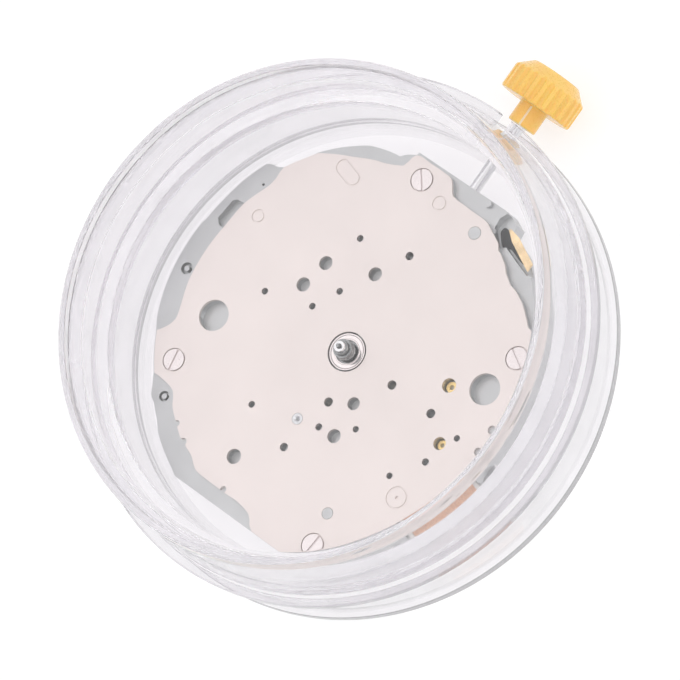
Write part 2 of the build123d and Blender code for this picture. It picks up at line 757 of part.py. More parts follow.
def make_second_wheel():
    """Second wheel and pinion on the long arbor whose tip carries the second hand."""
    towards = bearing(centre_axis, third_axis)
    low = second_wheel_z
    down = bearing(centre_axis, drive_axis)
    wheel = gear(second_wheel_teeth, drive_module, low, low + wheel_thickness, centre_axis, down)
    pinion_top = third_wheel_z + wheel_thickness + pinion_overlap
    pinion = gear(second_pinion_teeth, third_module, low + wheel_thickness, pinion_top, centre_axis, towards)
    arbor = disc(arbor_radius, bridge_z + seat_gap, cover_top + cannon_tip_height)
    tip = disc(second_pivot_radius, bridge_z + seat_gap, cover_top + second_pivot_height)
    return wheel + pinion + arbor + tip


def make_third_wheel():
    """Third wheel, driven by the second pinion, whose own pinion drives the centre wheel."""
    towards = bearing(third_axis, centre_axis)
    low = third_wheel_z
    wheel = gear(third_wheel_teeth, third_module, low, low + wheel_thickness, third_axis, towards, gap=True)
    pinion_low = low + wheel_thickness
    pinion_high = train_ceiling - wheel_gap / 2
    pinion = gear(third_pinion_teeth, centre_module, pinion_low, pinion_high, third_axis, towards, gap=True)
    wheel = windowed(wheel, third_module * third_wheel_teeth / 2, third_axis, low)
    return wheel + pinion + wheel_arbor(third_axis)


def make_drive_wheel():
    """Intermediate wheel: the rotor turns it, and its pinion turns the second wheel."""
    low = drive_wheel_z
    down = bearing(drive_axis, rotor_axis)
    wheel = gear(drive_wheel_teeth, rotor_module, low, low + wheel_thickness, drive_axis, down)
    pinion_high = second_wheel_z + wheel_thickness + pinion_overlap
    pinion = gear(
        drive_pinion_teeth, drive_module, low + wheel_thickness, pinion_high, drive_axis,
        bearing(drive_axis, centre_axis), gap=True,
    )
    wheel = windowed(wheel, rotor_module * drive_wheel_teeth / 2, drive_axis, low)
    return wheel + pinion + wheel_arbor(drive_axis)


def make_rotor_pinion():
    """Rotor's arbor and pinion, with a collar that carries the magnet."""
    low = drive_wheel_z - pinion_overlap
    high = drive_wheel_z + wheel_thickness + pinion_overlap
    towards = bearing(rotor_axis, drive_axis)
    body = gear(rotor_pinion_teeth, rotor_module, low, high, rotor_axis, towards, gap=True)
    body += disc(2 * wheel_arbor_radius, high, stator_z, rotor_axis)
    return body + wheel_arbor(rotor_axis)


def make_rotor_magnet():
    """Round permanent magnet of the stepping motor."""
    return ring(
        rotor_magnet_radius, wheel_arbor_radius + seat_gap, stator_z, stator_z + stator_thickness, rotor_axis
    )


def make_minute_wheel():
    """Minute wheel and pinion, turning on a stud of the main plate."""
    low = minute_wheel_z
    wheel = gear(minute_wheel_teeth, motion_module, low, low + wheel_thickness, minute_axis, 180, gap=True)
    pinion_high = hour_wheel_z + wheel_thickness + pinion_overlap
    pinion = gear(minute_pinion_teeth, hour_module, minute_pinion_z, pinion_high, minute_axis, 180)
    bore = disc(stud_radius + pivot_clearance, low - overrun, pinion_high + overrun, minute_axis)
    return wheel + pinion - bore


def make_hour_wheel():
    """Hour wheel and the pipe that carries the hour hand."""
    low = hour_wheel_z
    body = gear(hour_wheel_teeth, hour_module, low, low + wheel_thickness, centre_axis, 0, gap=True)
    body += disc(hour_pipe_radius * 1.6, low, low + 2 * wheel_thickness)
    body += disc(hour_pipe_radius, low, cover_top + hour_pipe_height)
    return body - disc(hour_pipe_bore, low - overrun, cover_top + 2 * hour_pipe_height)


def make_setting_wheel():
    """Setting wheel between the minute wheel and the stem's clutch."""
    low = minute_wheel_z - wheel_thickness / 2
    high = low + setting_wheel_thickness
    body = gear(setting_wheel_teeth, motion_module, low, high, setting_axis, 180)
    body += disc(2 * stud_radius, motion_floor + seat_gap, high + wheel_gap, setting_axis)
    return body - disc(stud_radius + pivot_clearance, motion_floor, plate_top, setting_axis)


def make_wheel_studs():
    """Studs in the main plate for the minute wheel and the setting wheel."""
    high = plate_top - wheel_gap / 2
    return [disc(stud_radius, motion_floor, high, axis) for axis in (minute_axis, setting_axis)]


# Stepping motor

def make_stator():
    """Stator: two arms and the ring round the rotor, with two thin saturation slits."""
    low, high = stator_z, stator_z + stator_thickness
    body = stator_plan(0, low, high)
    body -= disc(rotor_magnet_radius + rotor_gap, low - overrun, high + overrun, rotor_axis)
    for side in (1, -1):
        end = polar(rotor_axis, side * (stator_ring_radius + overrun), 100)
        start = polar(rotor_axis, side * (stator_ring_radius * 0.72), 100)
        body -= bar(start, end, stator_slit, low - overrun, high + overrun)
    return body


def make_coil_core():
    """Soft-iron core through the coil, with ends under the stator's feet."""
    return coil_bar(core_width, core_thickness - 2 * seat_gap, core_half_length)


def make_coil_bobbin():
    """Bobbin: a thin sleeve on the core with a cheek at each end."""
    body = along_origin(coil_sleeve_radius, -coil_half_length, coil_half_length)
    for side in (-1, 1):
        inner, outer = sorted((side * (coil_half_length - coil_cheek), side * coil_half_length))
        body += along_origin(coil_cheek_radius, inner, outer)
    body -= Box(3 * coil_half_length, core_width + 2 * seat_gap, core_thickness)
    return on_coil_axis(body)


def along_origin(radius, start, end):
    """Round bar about the X axis through the origin."""
    return along_x(radius, start, end, 0)


def make_coil_winding():
    """Winding of hair-thin copper wire: a body with a slight crown."""
    half = coil_half_length - coil_cheek - seat_gap
    low = coil_sleeve_radius + seat_gap
    edge = coil_radius * 0.93
    crown = ThreePointArc((-half, edge), (0, coil_radius), (half, edge))
    sides = Polyline((half, edge), (half, low), (-half, low), (-half, edge))
    return on_coil_axis(revolve(make_face([crown, sides]), Axis.X, 360))


# Battery

def make_battery_can():
    """Battery's positive can, with its rim turned in over the seal."""
    body = disc(battery_radius, battery_z, battery_top - battery_step, battery_centre)
    lower_edge = body.edges().filter_by(GeomType.CIRCLE).sort_by(Axis.Z)
    body = fillet([lower_edge[0], lower_edge[-1]], battery_step)
    mouth = battery_cap_radius + battery_rim
    return body - disc(mouth, battery_top - 2 * battery_step, battery_top + overrun, battery_centre)


def make_battery_seal():
    """Plastic ring between the battery's can and its cap."""
    low = battery_top - 2 * battery_step
    outer = battery_cap_radius + battery_rim - seat_gap
    return ring(outer, battery_cap_radius + seat_gap, low, low + 1.2 * battery_step, battery_centre)


def make_battery_cap():
    """Battery's negative cap, towards the main plate."""
    body = disc(battery_cap_radius, battery_top - 2 * battery_step, battery_top, battery_centre)
    return fillet(body.edges().filter_by(GeomType.CIRCLE).sort_by(Axis.Z)[-1], battery_step / 2)


def make_battery_contact():
    """Negative contact leaf above the battery's cap."""
    low = battery_top + contact_gap
    end = polar(battery_centre, contact_length, battery_contact_angle)
    return bar(battery_centre, end, contact_width, low, low + contact_thickness)


def make_battery_clamp():
    """Clamp across the battery: a strap with two raised feet under the main plate."""
    inner = battery_radius + battery_room
    half = inner + clamp_thickness
    reach = battery_radius + 2 * clamp_foot - battery_room
    strap = Pos(0, 0, back_z) * Box(2 * half, clamp_width, clamp_thickness, align=standing)
    strap -= Pos(0, 0, back_z) * extrude(SlotOverall(1.2 * battery_radius, clamp_width / 2), clamp_thickness)
    for side in (-1, 1):
        riser = Pos(side * (half - clamp_thickness / 2), 0, back_z)
        strap += riser * Box(clamp_thickness, clamp_width, back_depth, align=standing)
        foot = Pos(side * (half + reach) / 2, 0, plate_bottom - clamp_thickness)
        strap += foot * Box(reach - half, clamp_width, clamp_thickness, align=standing)
    clamp = Pos(battery_centre[0], battery_centre[1], 0) * Rot(0, 0, clamp_angle) * strap
    for seat in clamp_seats():
        clamp -= disc(back_screw_radius + seat_gap, back_z, plate_bottom + overrun, seat)
    return clamp


def back_screw(at, seat, angle):
    """Screw from the back, its head below the level of the piece that it holds."""
    head_low = seat - back_screw_head_height
    tip = plate_bottom + screw_length - seat_gap
    return slotted_screw(
        at, head_low, back_screw_head_height, back_screw_head_radius,
        back_screw_radius, tip, angle, upward=False,
    )


def make_clamp_screws():
    level = plate_bottom - clamp_thickness
    return [back_screw(seat, level, 30 * turn) for turn, seat in enumerate(clamp_seats())]


# Back plates

def make_train_bridge():
    """Train bridge: one plate over all the lower pivots, with an ear for each screw."""
    low, high = bridge_z, plate_bottom
    grow = bridge_margin
    body = disc(tip_radius(centre_wheel_teeth, centre_module) + grow, low, high)
    body += disc(tip_radius(third_wheel_teeth, third_module) + grow, low, high, third_axis)
    body += disc(tip_radius(drive_wheel_teeth, rotor_module) + grow, low, high, drive_axis)
    body += disc(stator_ring_radius + grow / 2, low, high, rotor_axis)
    for shares in bridge_screw_shares:
        body += bar(place(shares), (place(shares)[0] / 2, place(shares)[1] / 2), 2 * ear_radius, low, high)
    for shares in bridge_screw_shares:
        body -= disc(back_screw_radius + seat_gap, low - overrun, high + overrun, place(shares))
    for axis in (centre_axis, third_axis, drive_axis, rotor_axis):
        body -= disc(jewel_radius, low - overrun, high + overrun, axis)
    return body


jewel_radius = 4 * wheel_arbor_radius


def make_bridge_jewels():
    """Jewel bearings pressed in the bridge, one for each lower pivot."""
    jewels = []
    for axis in (centre_axis, third_axis, drive_axis, rotor_axis):
        pivot = arbor_radius if axis == centre_axis else wheel_arbor_radius
        body = ring(jewel_radius - seat_gap / 2, pivot + pivot_clearance, bridge_z, plate_bottom, axis)
        jewels.append(body)
    return jewels


def make_bridge_screws():
    places = [place(shares) for shares in bridge_screw_shares]
    return [back_screw(at, bridge_z, 50 * turn) for turn, at in enumerate(places)]


def screw_holes(low, high):
    """Holes of the cover screws through the board and the circuit cover."""
    first, second = [place(shares) for shares in cover_screw_shares]
    radius = back_screw_radius + seat_gap
    return disc(radius, low, high, first) + disc(radius, low, high, second)


board_outer = plate_radius - board_inset
board_inner = board_outer - board_width
chip_middle = polar(centre_axis, (board_inner + board_outer) / 2, chip_angle)


def make_circuit_board():
    """Circuit board: a part of a ring that goes round the battery and the train."""
    body = sector(board_inner, board_outer, board_start, board_end, board_z, plate_bottom)
    return body - screw_holes(board_z - overrun, plate_bottom + overrun)


def make_circuit_cover():
    """Sheet cover under the board, with a window for the chip."""
    margin = sheet_margin
    turn = degrees(margin / board_inner)
    inner, outer = board_inner + margin, board_outer - margin
    body = sector(inner, outer, board_start + turn, board_end - turn, sheet_z, board_z)
    window = Box(chip_side + 2 * margin, chip_side + 2 * margin, 4 * sheet_thickness)
    body -= Pos(chip_middle[0], chip_middle[1], sheet_z) * Rot(0, 0, chip_angle) * window
    return body - screw_holes(sheet_z - overrun, board_z + overrun)


def make_circuit_chip():
    """Integrated circuit under the board, in the cover's window."""
    body = Box(chip_side, chip_side, chip_height, align=(Align.CENTER, Align.CENTER, Align.MAX))
    body = chamfer(body.edges().group_by(Axis.Z)[0], chip_height / 4)
    return Pos(chip_middle[0], chip_middle[1], board_z) * Rot(0, 0, chip_angle) * body


def make_quartz_crystal():
    """Quartz oscillator in its round can, lying in the main plate's pocket on the board."""
    can = along_origin(quartz_radius, -quartz_length / 2, quartz_length / 2)
    can = fillet(can.edges().filter_by(GeomType.CIRCLE).sort_by(Axis.X)[-1], quartz_radius / 3)
    height = plate_bottom + quartz_radius + seat_gap
    return Pos(quartz_centre[0], quartz_centre[1], height) * Rot(0, 0, quartz_angle + 90) * can


def make_cover_screws():
    places = [place(shares) for shares in cover_screw_shares]
    return [back_screw(at, sheet_z, 70 * turn) for turn, at in enumerate(places)]


# Setting mechanism

square_start = pilot_start + pilot_length
shoulder_start = square_start + square_length
groove_start = shoulder_start + shoulder_length
groove_end = groove_start + groove_width
hub_start = case_centre[0] + case_reach + knob_clearance
hub_end = hub_start + hub_length
stem_end = hub_end + knob_bore_depth - knob_gap
lever_swing = degrees(2 * asin(stem_pull / 2 / lever_arm))
lever_axis = (
    (groove_start + groove_end) / 2 + stem_pull / 2,
    lever_arm * cos(radians(lever_swing / 2)),
)
lever_pin_at = ((groove_start + groove_end) / 2, 0)


def make_setting_stem():
    """Stem: pilot, square for the clutch, shoulder, lever groove and the long round shank."""
    side = 2 * pilot_radius
    body = along_x(pilot_radius, pilot_start, square_start, stem_z)
    square = Pos((square_start + shoulder_start) / 2, 0, stem_z) * Box(square_length, side, side)
    body += square
    body += along_x(stem_radius, shoulder_start, groove_start, stem_z)
    body += along_x(groove_radius, groove_start, groove_end, stem_z)
    return body + along_x(stem_radius, groove_end, stem_end, stem_z)


def make_sliding_clutch():
    """Clutch pinion on the stem's square, with the yoke's groove and teeth on both ends."""
    middle = clutch_start + clutch_length / 2
    body = along_x(clutch_radius, clutch_start, clutch_start + clutch_length, stem_z)
    half = clutch_groove_width / 2
    groove = along_x(clutch_radius + overrun, middle - half, middle + half, stem_z)
    body -= groove - along_x(clutch_groove_radius, middle - half, middle + half, stem_z)
    depth = clutch_length / 6
    for turn in range(clutch_teeth // 2):
        cut = Box(2 * depth, 3 * clutch_radius, clutch_radius / 4)
        for end in (clutch_start, clutch_start + clutch_length):
            body -= Pos(end, 0, stem_z) * Rot(360 / clutch_teeth * turn, 0, 0) * cut
    core = along_x(clutch_groove_radius, clutch_start, clutch_start + clutch_length, stem_z)
    side = 2 * (pilot_radius + pivot_clearance)
    return body + core - Pos(middle, 0, stem_z) * Box(2 * clutch_length, side, side)


def make_setting_lever():
    """Setting lever: turns on its stud, with a pin down in the stem's groove and a short tail."""
    high = lever_z + lever_thickness
    body = bar(lever_axis, lever_pin_at, 2 * lever_radius, lever_z, high)
    tail = polar(lever_axis, 1.6 * lever_radius, 160)
    body += bar(lever_axis, tail, lever_radius, lever_z, high)
    body += disc(lever_pin_radius, stem_z + groove_radius + pivot_clearance, high, lever_pin_at)
    return body - disc(lever_stud_radius + pivot_clearance, lever_z - overrun, high + overrun, lever_axis)


def make_lever_studs():
    """Studs in the main plate that the setting lever turns on and the yoke is held by."""
    low = plate_bottom + floor_thickness
    return [
        disc(lever_stud_radius, low, lever_z + lever_thickness + wheel_gap, lever_axis),
        disc(lever_stud_radius, low, stem_z + 2 * yoke_thickness, yoke_axis),
    ]


yoke_axis = (clutch_start + clutch_length + yoke_width * 1.3, -yoke_reach)


def make_yoke():
    """Yoke: a lever from its stud to a finger in the clutch's groove."""
    low, high = stem_z - yoke_thickness / 2, stem_z + yoke_thickness / 2
    middle = clutch_start + clutch_length / 2
    knee = (middle, yoke_axis[1])
    body = bar(yoke_axis, knee, yoke_width, low, high)
    finger_tip = -(clutch_groove_radius + 2 * shaft_clearance)
    half = clutch_groove_width / 2 - shaft_clearance
    body += block((middle - half, knee[1]), (middle + half, finger_tip), low, high)
    return body - disc(lever_stud_radius + pivot_clearance, low - overrun, high + overrun, yoke_axis)


def make_setting_knob():
    """Knob: a slit hub, a ribbed grip and a coned end face, with a blind bore for the stem."""
    hub = along_x(hub_radius, hub_start, hub_end, stem_z)
    slit = Pos((hub_start + hub_end) / 2, 0, stem_z) * Rot(-16, 0, 0)
    slit = slit * Pos(0, 0, hub_radius) * Box(2 * hub_length, hub_slit, hub_radius / 2)
    hub -= slit
    straight = knob_length - knob_chamfer
    turned = cone(knob_radius, knob_face_radius, straight, knob_length) + disc(knob_radius, 0, straight)
    for rib in range(knob_ribs):
        at = polar(centre_axis, knob_radius + rib_groove_radius - rib_groove_depth, 360 / knob_ribs * rib)
        turned -= disc(rib_groove_radius, -overrun, knob_length + overrun, at)
    turned = Pos(hub_end, 0, stem_z) * Rot(0, 90, 0) * turned
    bore = along_x(stem_radius + seat_gap, hub_start - overrun, hub_end + knob_bore_depth, stem_z)
    return hub + turned - bore


def make_rim_spring():
    """Gold contact spring in its room: a tapered strip along the rim, on a leg at its inner edge."""
    seat = place(rim_spring_shares)
    half, side = rim_spring_length / 2, rim_spring_width / 2
    tip = side * (1 - 2 * rim_spring_tip_share)
    corners = [
        (-side, -half), (side, -half + side), (side, half / 2), (tip, half), (-tip, half), (-side, half / 2),
    ]
    strip = extrude(make_face(Polyline(*corners, close=True)), rim_spring_thickness)
    leg_height = rim_spring_drop - rim_spring_room_gap - seat_gap
    hung = (Align.MIN, Align.CENTER, Align.MAX)
    strip += Pos(-side, 0, 0) * Box(rim_spring_thickness, rim_spring_length / 3, leg_height, align=hung)
    return Pos(seat[0], seat[1], rim_z - rim_spring_room_gap) * Rot(0, 0, rim_spring_angle) * strip


nodes = {
    "case_base": make_case_base,
    "case_lid": make_case_lid,
    "main_plate": make_main_plate,
    "dial_side_plate": make_dial_side_plate,
    "plate_screws": make_plate_screws,
    "locating_pins": make_locating_pins,
    "train_bushes": make_train_bushes,
    "plate_jewel": make_plate_jewel,
    "centre_tube": make_centre_tube,
    "cannon_pinion": make_cannon_pinion,
    "centre_wheel": make_centre_wheel,
    "second_wheel": make_second_wheel,
    "third_wheel": make_third_wheel,
    "drive_wheel": make_drive_wheel,
    "rotor_pinion": make_rotor_pinion,
    "rotor_magnet": make_rotor_magnet,
    "minute_wheel": make_minute_wheel,
    "hour_wheel": make_hour_wheel,
    "setting_wheel": make_setting_wheel,
    "wheel_studs": make_wheel_studs,
    "stator": make_stator,
    "coil_core": make_coil_core,
    "coil_bobbin": make_coil_bobbin,
    "coil_winding": make_coil_winding,
    "battery_can": make_battery_can,
    "battery_seal": make_battery_seal,
    "battery_cap": make_battery_cap,
    "battery_contact": make_battery_contact,
    "battery_clamp": make_battery_clamp,
    "clamp_screws": make_clamp_screws,
    "train_bridge": make_train_bridge,
    "bridge_jewels": make_bridge_jewels,
    "bridge_screws": make_bridge_screws,
    "circuit_board": make_circuit_board,
    "circuit_cover": make_circuit_cover,
    "circuit_chip": make_circuit_chip,
    "quartz_crystal": make_quartz_crystal,
    "cover_screws": make_cover_screws,
    "setting_stem": make_setting_stem,
    "sliding_clutch": make_sliding_clutch,
    "setting_lever": make_setting_lever,
    "lever_studs": make_lever_studs,
    "yoke": make_yoke,
    "setting_knob": make_setting_knob,
    "rim_spring": make_rim_spring,
}

os.makedirs("parts", exist_ok=True)
for name, make in nodes.items():
    made = make()
    pieces = made if isinstance(made, list) else [made]
    solids = [solid for piece in pieces for solid in piece.solids()]
    export_step(Compound(children=solids), f"parts/{name}.step")
print("lever swing in degrees", round(lever_swing, 3))
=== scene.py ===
import logging
import math
from dataclasses import dataclass
from enum import Enum

import bmesh
import bpy
import numpy as np
from mathutils import Matrix, Vector


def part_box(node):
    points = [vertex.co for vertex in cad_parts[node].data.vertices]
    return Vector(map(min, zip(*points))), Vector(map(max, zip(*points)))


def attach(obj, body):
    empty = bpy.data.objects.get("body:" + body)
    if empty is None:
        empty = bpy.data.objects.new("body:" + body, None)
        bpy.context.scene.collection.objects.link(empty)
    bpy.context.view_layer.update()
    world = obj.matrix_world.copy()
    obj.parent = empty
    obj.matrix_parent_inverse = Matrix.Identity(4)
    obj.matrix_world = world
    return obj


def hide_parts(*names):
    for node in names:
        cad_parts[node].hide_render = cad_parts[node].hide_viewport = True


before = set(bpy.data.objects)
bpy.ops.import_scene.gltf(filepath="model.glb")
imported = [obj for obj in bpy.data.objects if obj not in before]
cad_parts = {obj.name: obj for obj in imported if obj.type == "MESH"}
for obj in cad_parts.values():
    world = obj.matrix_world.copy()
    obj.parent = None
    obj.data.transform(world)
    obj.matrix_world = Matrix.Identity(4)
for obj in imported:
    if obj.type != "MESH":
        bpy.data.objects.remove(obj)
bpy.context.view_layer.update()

MM = 0.001

# Noise keeps to this range nearly everywhere, and its ramp of colours a little inside it
NOISE_LOW, NOISE_HIGH = 0.3, 0.7
RAMP_LOW, RAMP_HIGH = 0.32, 0.68
PATCH_DETAIL, FINE_DETAIL = 3.0, 4.0
BRUSH_STRETCH = 0.04

# Millimetres: points nearer than this are one, and faces thinner than this are dropped
MERGE_REACH = 1e-4
SLIVER_WIDTH = 1e-5

# Shares of a side: how far a rounded corner may reach along it, and where its held point lies at most.
# HELD_REACH is that point's own distance from the rounding, in millimetres.
CORNER_SHARE = 0.46
HELD_SHARE = 0.03
HELD_REACH = 0.03

log = logging.getLogger("watch_movement")

Colour = tuple[float, float, float]
Sizes = tuple[tuple[float, ...], ...]


class Grain(Enum):
    """How the fine marks of a finish run."""

    MATT = "even in all directions"
    BRUSHED = "long marks along X"
    TURNED = "rings about the hands' axis"


def socket(node: bpy.types.Node, name: str, value: object) -> None:
    """Sets one input of a shader node."""
    node.inputs[name].default_value = value


@dataclass(frozen=True)
class Finish:
    """A surface finish: a Principled shader whose colour, gloss and relief vary with fine noise.

    Lengths are in millimetres. The noise reads Object coordinates, and every piece sits at the origin.
    """

    name: str
    colour: Colour
    metallic: float = 1.0
    roughness: float = 0.3
    grain: Grain = Grain.MATT
    grain_size: float = 0.12
    shade_share: float = 0.05
    rough_share: float = 0.25
    relief: float = 0.0006
    patch_size: float = 3.0

    def coordinates(self, tree: bpy.types.NodeTree, size: float) -> bpy.types.NodeSocket:
        """Object coordinates in units of the grain, stretched or wound the way the marks run.

        Args:
            tree: the material's nodes.
            size: length of one grain in millimetres.

        Returns:
            The vector output to feed a texture with.
        """
        where = tree.nodes.new("ShaderNodeTexCoord").outputs["Object"]
        if self.grain is Grain.TURNED:
            parts = tree.nodes.new("ShaderNodeSeparateXYZ")
            tree.links.new(where, parts.inputs[0])
            flat = tree.nodes.new("ShaderNodeCombineXYZ")
            tree.links.new(parts.outputs["X"], flat.inputs["X"])
            tree.links.new(parts.outputs["Y"], flat.inputs["Y"])
            radius = tree.nodes.new("ShaderNodeVectorMath")
            radius.operation = "LENGTH"
            tree.links.new(flat.outputs[0], radius.inputs[0])
            rings = tree.nodes.new("ShaderNodeCombineXYZ")
            tree.links.new(radius.outputs["Value"], rings.inputs["X"])
            tree.links.new(parts.outputs["Z"], rings.inputs["Y"])
            where = rings.outputs[0]
        turn = tree.nodes.new("ShaderNodeMapping")
        step = 1 / (size * MM)
        stretch = BRUSH_STRETCH if self.grain is Grain.BRUSHED else 1.0
        socket(turn, "Scale", (step * stretch, step, step))
        tree.links.new(where, turn.inputs["Vector"])
        return turn.outputs[0]

    def noise(self, tree: bpy.types.NodeTree, size: float, detail: float) -> bpy.types.NodeSocket:
        """Noise of one grain size, from 0 to 1.

        Args:
            tree: the material's nodes.
            size: length of one grain in millimetres.
            detail: how many finer layers the noise has.

        Returns:
            The noise's output.
        """
        texture = tree.nodes.new("ShaderNodeTexNoise")
        socket(texture, "Scale", 1.0)
        socket(texture, "Detail", detail)
        tree.links.new(self.coordinates(tree, size), texture.inputs["Vector"])
        return texture.outputs[0]

    def spread(self, tree: bpy.types.NodeTree, source: bpy.types.NodeSocket,
               low: float, high: float) -> bpy.types.NodeSocket:
        """Maps noise from its usual range to another, along a straight line.

        Args:
            tree: the material's nodes.
            source: the noise.
            low: value at NOISE_LOW.
            high: value at NOISE_HIGH.

        Returns:
            The mapped value.
        """
        node = tree.nodes.new("ShaderNodeMapRange")
        socket(node, "From Min", NOISE_LOW)
        socket(node, "From Max", NOISE_HIGH)
        socket(node, "To Min", low)
        socket(node, "To Max", high)
        tree.links.new(source, node.inputs["Value"])
        return node.outputs[0]

    def shades(self, tree: bpy.types.NodeTree, source: bpy.types.NodeSocket) -> bpy.types.NodeSocket:
        """Colour between a slightly darker and a slightly lighter shade, mixed by noise.

        Args:
            tree: the material's nodes.
            source: the noise.

        Returns:
            The colour.
        """
        ramp = tree.nodes.new("ShaderNodeValToRGB")
        low, high = ramp.color_ramp.elements
        low.position, high.position = RAMP_LOW, RAMP_HIGH
        low.color = (*[channel * (1 - self.shade_share) for channel in self.colour], 1)
        high.color = (*[min(1.0, channel * (1 + self.shade_share)) for channel in self.colour], 1)
        tree.links.new(source, ramp.inputs[0])
        return ramp.outputs[0]

    def adjust(self, tree: bpy.types.NodeTree, shader: bpy.types.Node) -> bpy.types.NodeSocket:
        """Last changes to the shader. A plain finish has none.

        Args:
            tree: the material's nodes.
            shader: the finish's Principled node.

        Returns:
            The output that goes to the material's surface.
        """
        return shader.outputs[0]

    def material(self) -> bpy.types.Material:
        """Builds the finish's material, or gives the one built before.

        Returns:
            The material.
        """
        ready = bpy.data.materials.get(self.name)
        if ready is not None:
            return ready
        made = bpy.data.materials.new(self.name)
        made.use_nodes = True
        tree = made.node_tree
        tree.nodes.clear()
        shader = tree.nodes.new("ShaderNodeBsdfPrincipled")
        out = tree.nodes.new("ShaderNodeOutputMaterial")
        socket(shader, "Metallic", self.metallic)
        patches = self.noise(tree, self.patch_size, PATCH_DETAIL)
        fine = self.noise(tree, self.grain_size, FINE_DETAIL)
        tree.links.new(self.shades(tree, patches), shader.inputs["Base Color"])
        low = self.roughness * (1 - self.rough_share)
        high = self.roughness * (1 + self.rough_share)
        tree.links.new(self.spread(tree, fine, low, high), shader.inputs["Roughness"])
        bump = tree.nodes.new("ShaderNodeBump")
        socket(bump, "Strength", 1.0)
        socket(bump, "Distance", self.relief * MM)
        tree.links.new(fine, bump.inputs["Height"])
        tree.links.new(bump.outputs[0], shader.inputs["Normal"])
        tree.links.new(self.adjust(tree, shader), out.inputs["Surface"])
        return made


@dataclass(frozen=True)
class ClearMoulding(Finish):
    """Clear styrene: glass for the eye, and open to lamps and to light scattered inside the case.

    The haze is the share of light that the moulding scatters instead of passing it straight on.
    """

    index: float = 1.3
    haze: float = 0.03
    tint: Colour = (0.985, 0.98, 0.99)

    def adjust(self, tree: bpy.types.NodeTree, shader: bpy.types.Node) -> bpy.types.NodeSocket:
        """Mixes the moulding's glass with a clear pane for shadow and diffuse rays.

        Args:
            tree: the material's nodes.
            shader: the finish's Principled node.

        Returns:
            The output that goes to the material's surface.
        """
        socket(shader, "Transmission Weight", 1.0 - self.haze)
        socket(shader, "IOR", self.index)
        pane = tree.nodes.new("ShaderNodeBsdfTransparent")
        socket(pane, "Color", (*self.tint, 1))
        path = tree.nodes.new("ShaderNodeLightPath")
        either = tree.nodes.new("ShaderNodeMath")
        either.operation = "MAXIMUM"
        tree.links.new(path.outputs["Is Shadow Ray"], either.inputs[0])
        tree.links.new(path.outputs["Is Diffuse Ray"], either.inputs[1])
        mix = tree.nodes.new("ShaderNodeMixShader")
        tree.links.new(either.outputs[0], mix.inputs[0])
        tree.links.new(shader.outputs[0], mix.inputs[1])
        tree.links.new(pane.outputs[0], mix.inputs[2])
        return mix.outputs[0]


@dataclass(frozen=True)
class GlowingMoulding(Finish):
    """Coloured plastic that light soaks into."""

    depth: float = 0.4
    soaked_share: float = 0.5
    soaked_reach: Colour = (1.0, 0.55, 0.2)
    gloss_share: float = 0.3
    gloss_roughness: float = 0.12

    def adjust(self, tree: bpy.types.NodeTree, shader: bpy.types.Node) -> bpy.types.NodeSocket:
        """Adds light scattered below the surface.

        Args:
            tree: the material's nodes.
            shader: the finish's Principled node.

        Returns:
            The output that goes to the material's surface.
        """
        socket(shader, "Subsurface Weight", self.soaked_share)
        socket(shader, "Subsurface Radius", self.soaked_reach)
        socket(shader, "Subsurface Scale", self.depth * MM)
        socket(shader, "Coat Weight", self.gloss_share)
        socket(shader, "Coat Roughness", self.gloss_roughness)
        return shader.outputs[0]


@dataclass(frozen=True)
class Gemstone(Finish):
    """Polished ruby: coloured, and partly clear."""

    index: float = 1.76
    clear_share: float = 0.35

    def adjust(self, tree: bpy.types.NodeTree, shader: bpy.types.Node) -> bpy.types.NodeSocket:
        """Lets part of the light through the stone.

        Args:
            tree: the material's nodes.
            shader: the finish's Principled node.

        Returns:
            The output that goes to the material's surface.
        """
        socket(shader, "Transmission Weight", self.clear_share)
        socket(shader, "IOR", self.index)
        return shader.outputs[0]


@dataclass(frozen=True)
class PrintedBoard(Finish):
    """Board with copper tracks under green lacquer."""

    track_colour: Colour = (0.12, 0.36, 0.16)
    track_pitch: float = 0.9
    track_bend: float = 6.0
    track_start: float = 0.72

    def shades(self, tree: bpy.types.NodeTree, source: bpy.types.NodeSocket) -> bpy.types.NodeSocket:
        """Colour of the lacquer, lighter where a track runs below it: bands of a wave bent by noise.

        Args:
            tree: the material's nodes.
            source: the finish's own noise, which the tracks don't use.

        Returns:
            The colour.
        """
        wave = tree.nodes.new("ShaderNodeTexWave")
        socket(wave, "Scale", 1.0)
        socket(wave, "Distortion", self.track_bend)
        tree.links.new(self.coordinates(tree, self.track_pitch), wave.inputs["Vector"])
        ramp = tree.nodes.new("ShaderNodeValToRGB")
        ramp.color_ramp.interpolation = "CONSTANT"
        low, high = ramp.color_ramp.elements
        low.color, high.color = (*self.colour, 1), (*self.track_colour, 1)
        high.position = self.track_start
        tree.links.new(wave.outputs[0], ramp.inputs[0])
        return ramp.outputs[0]


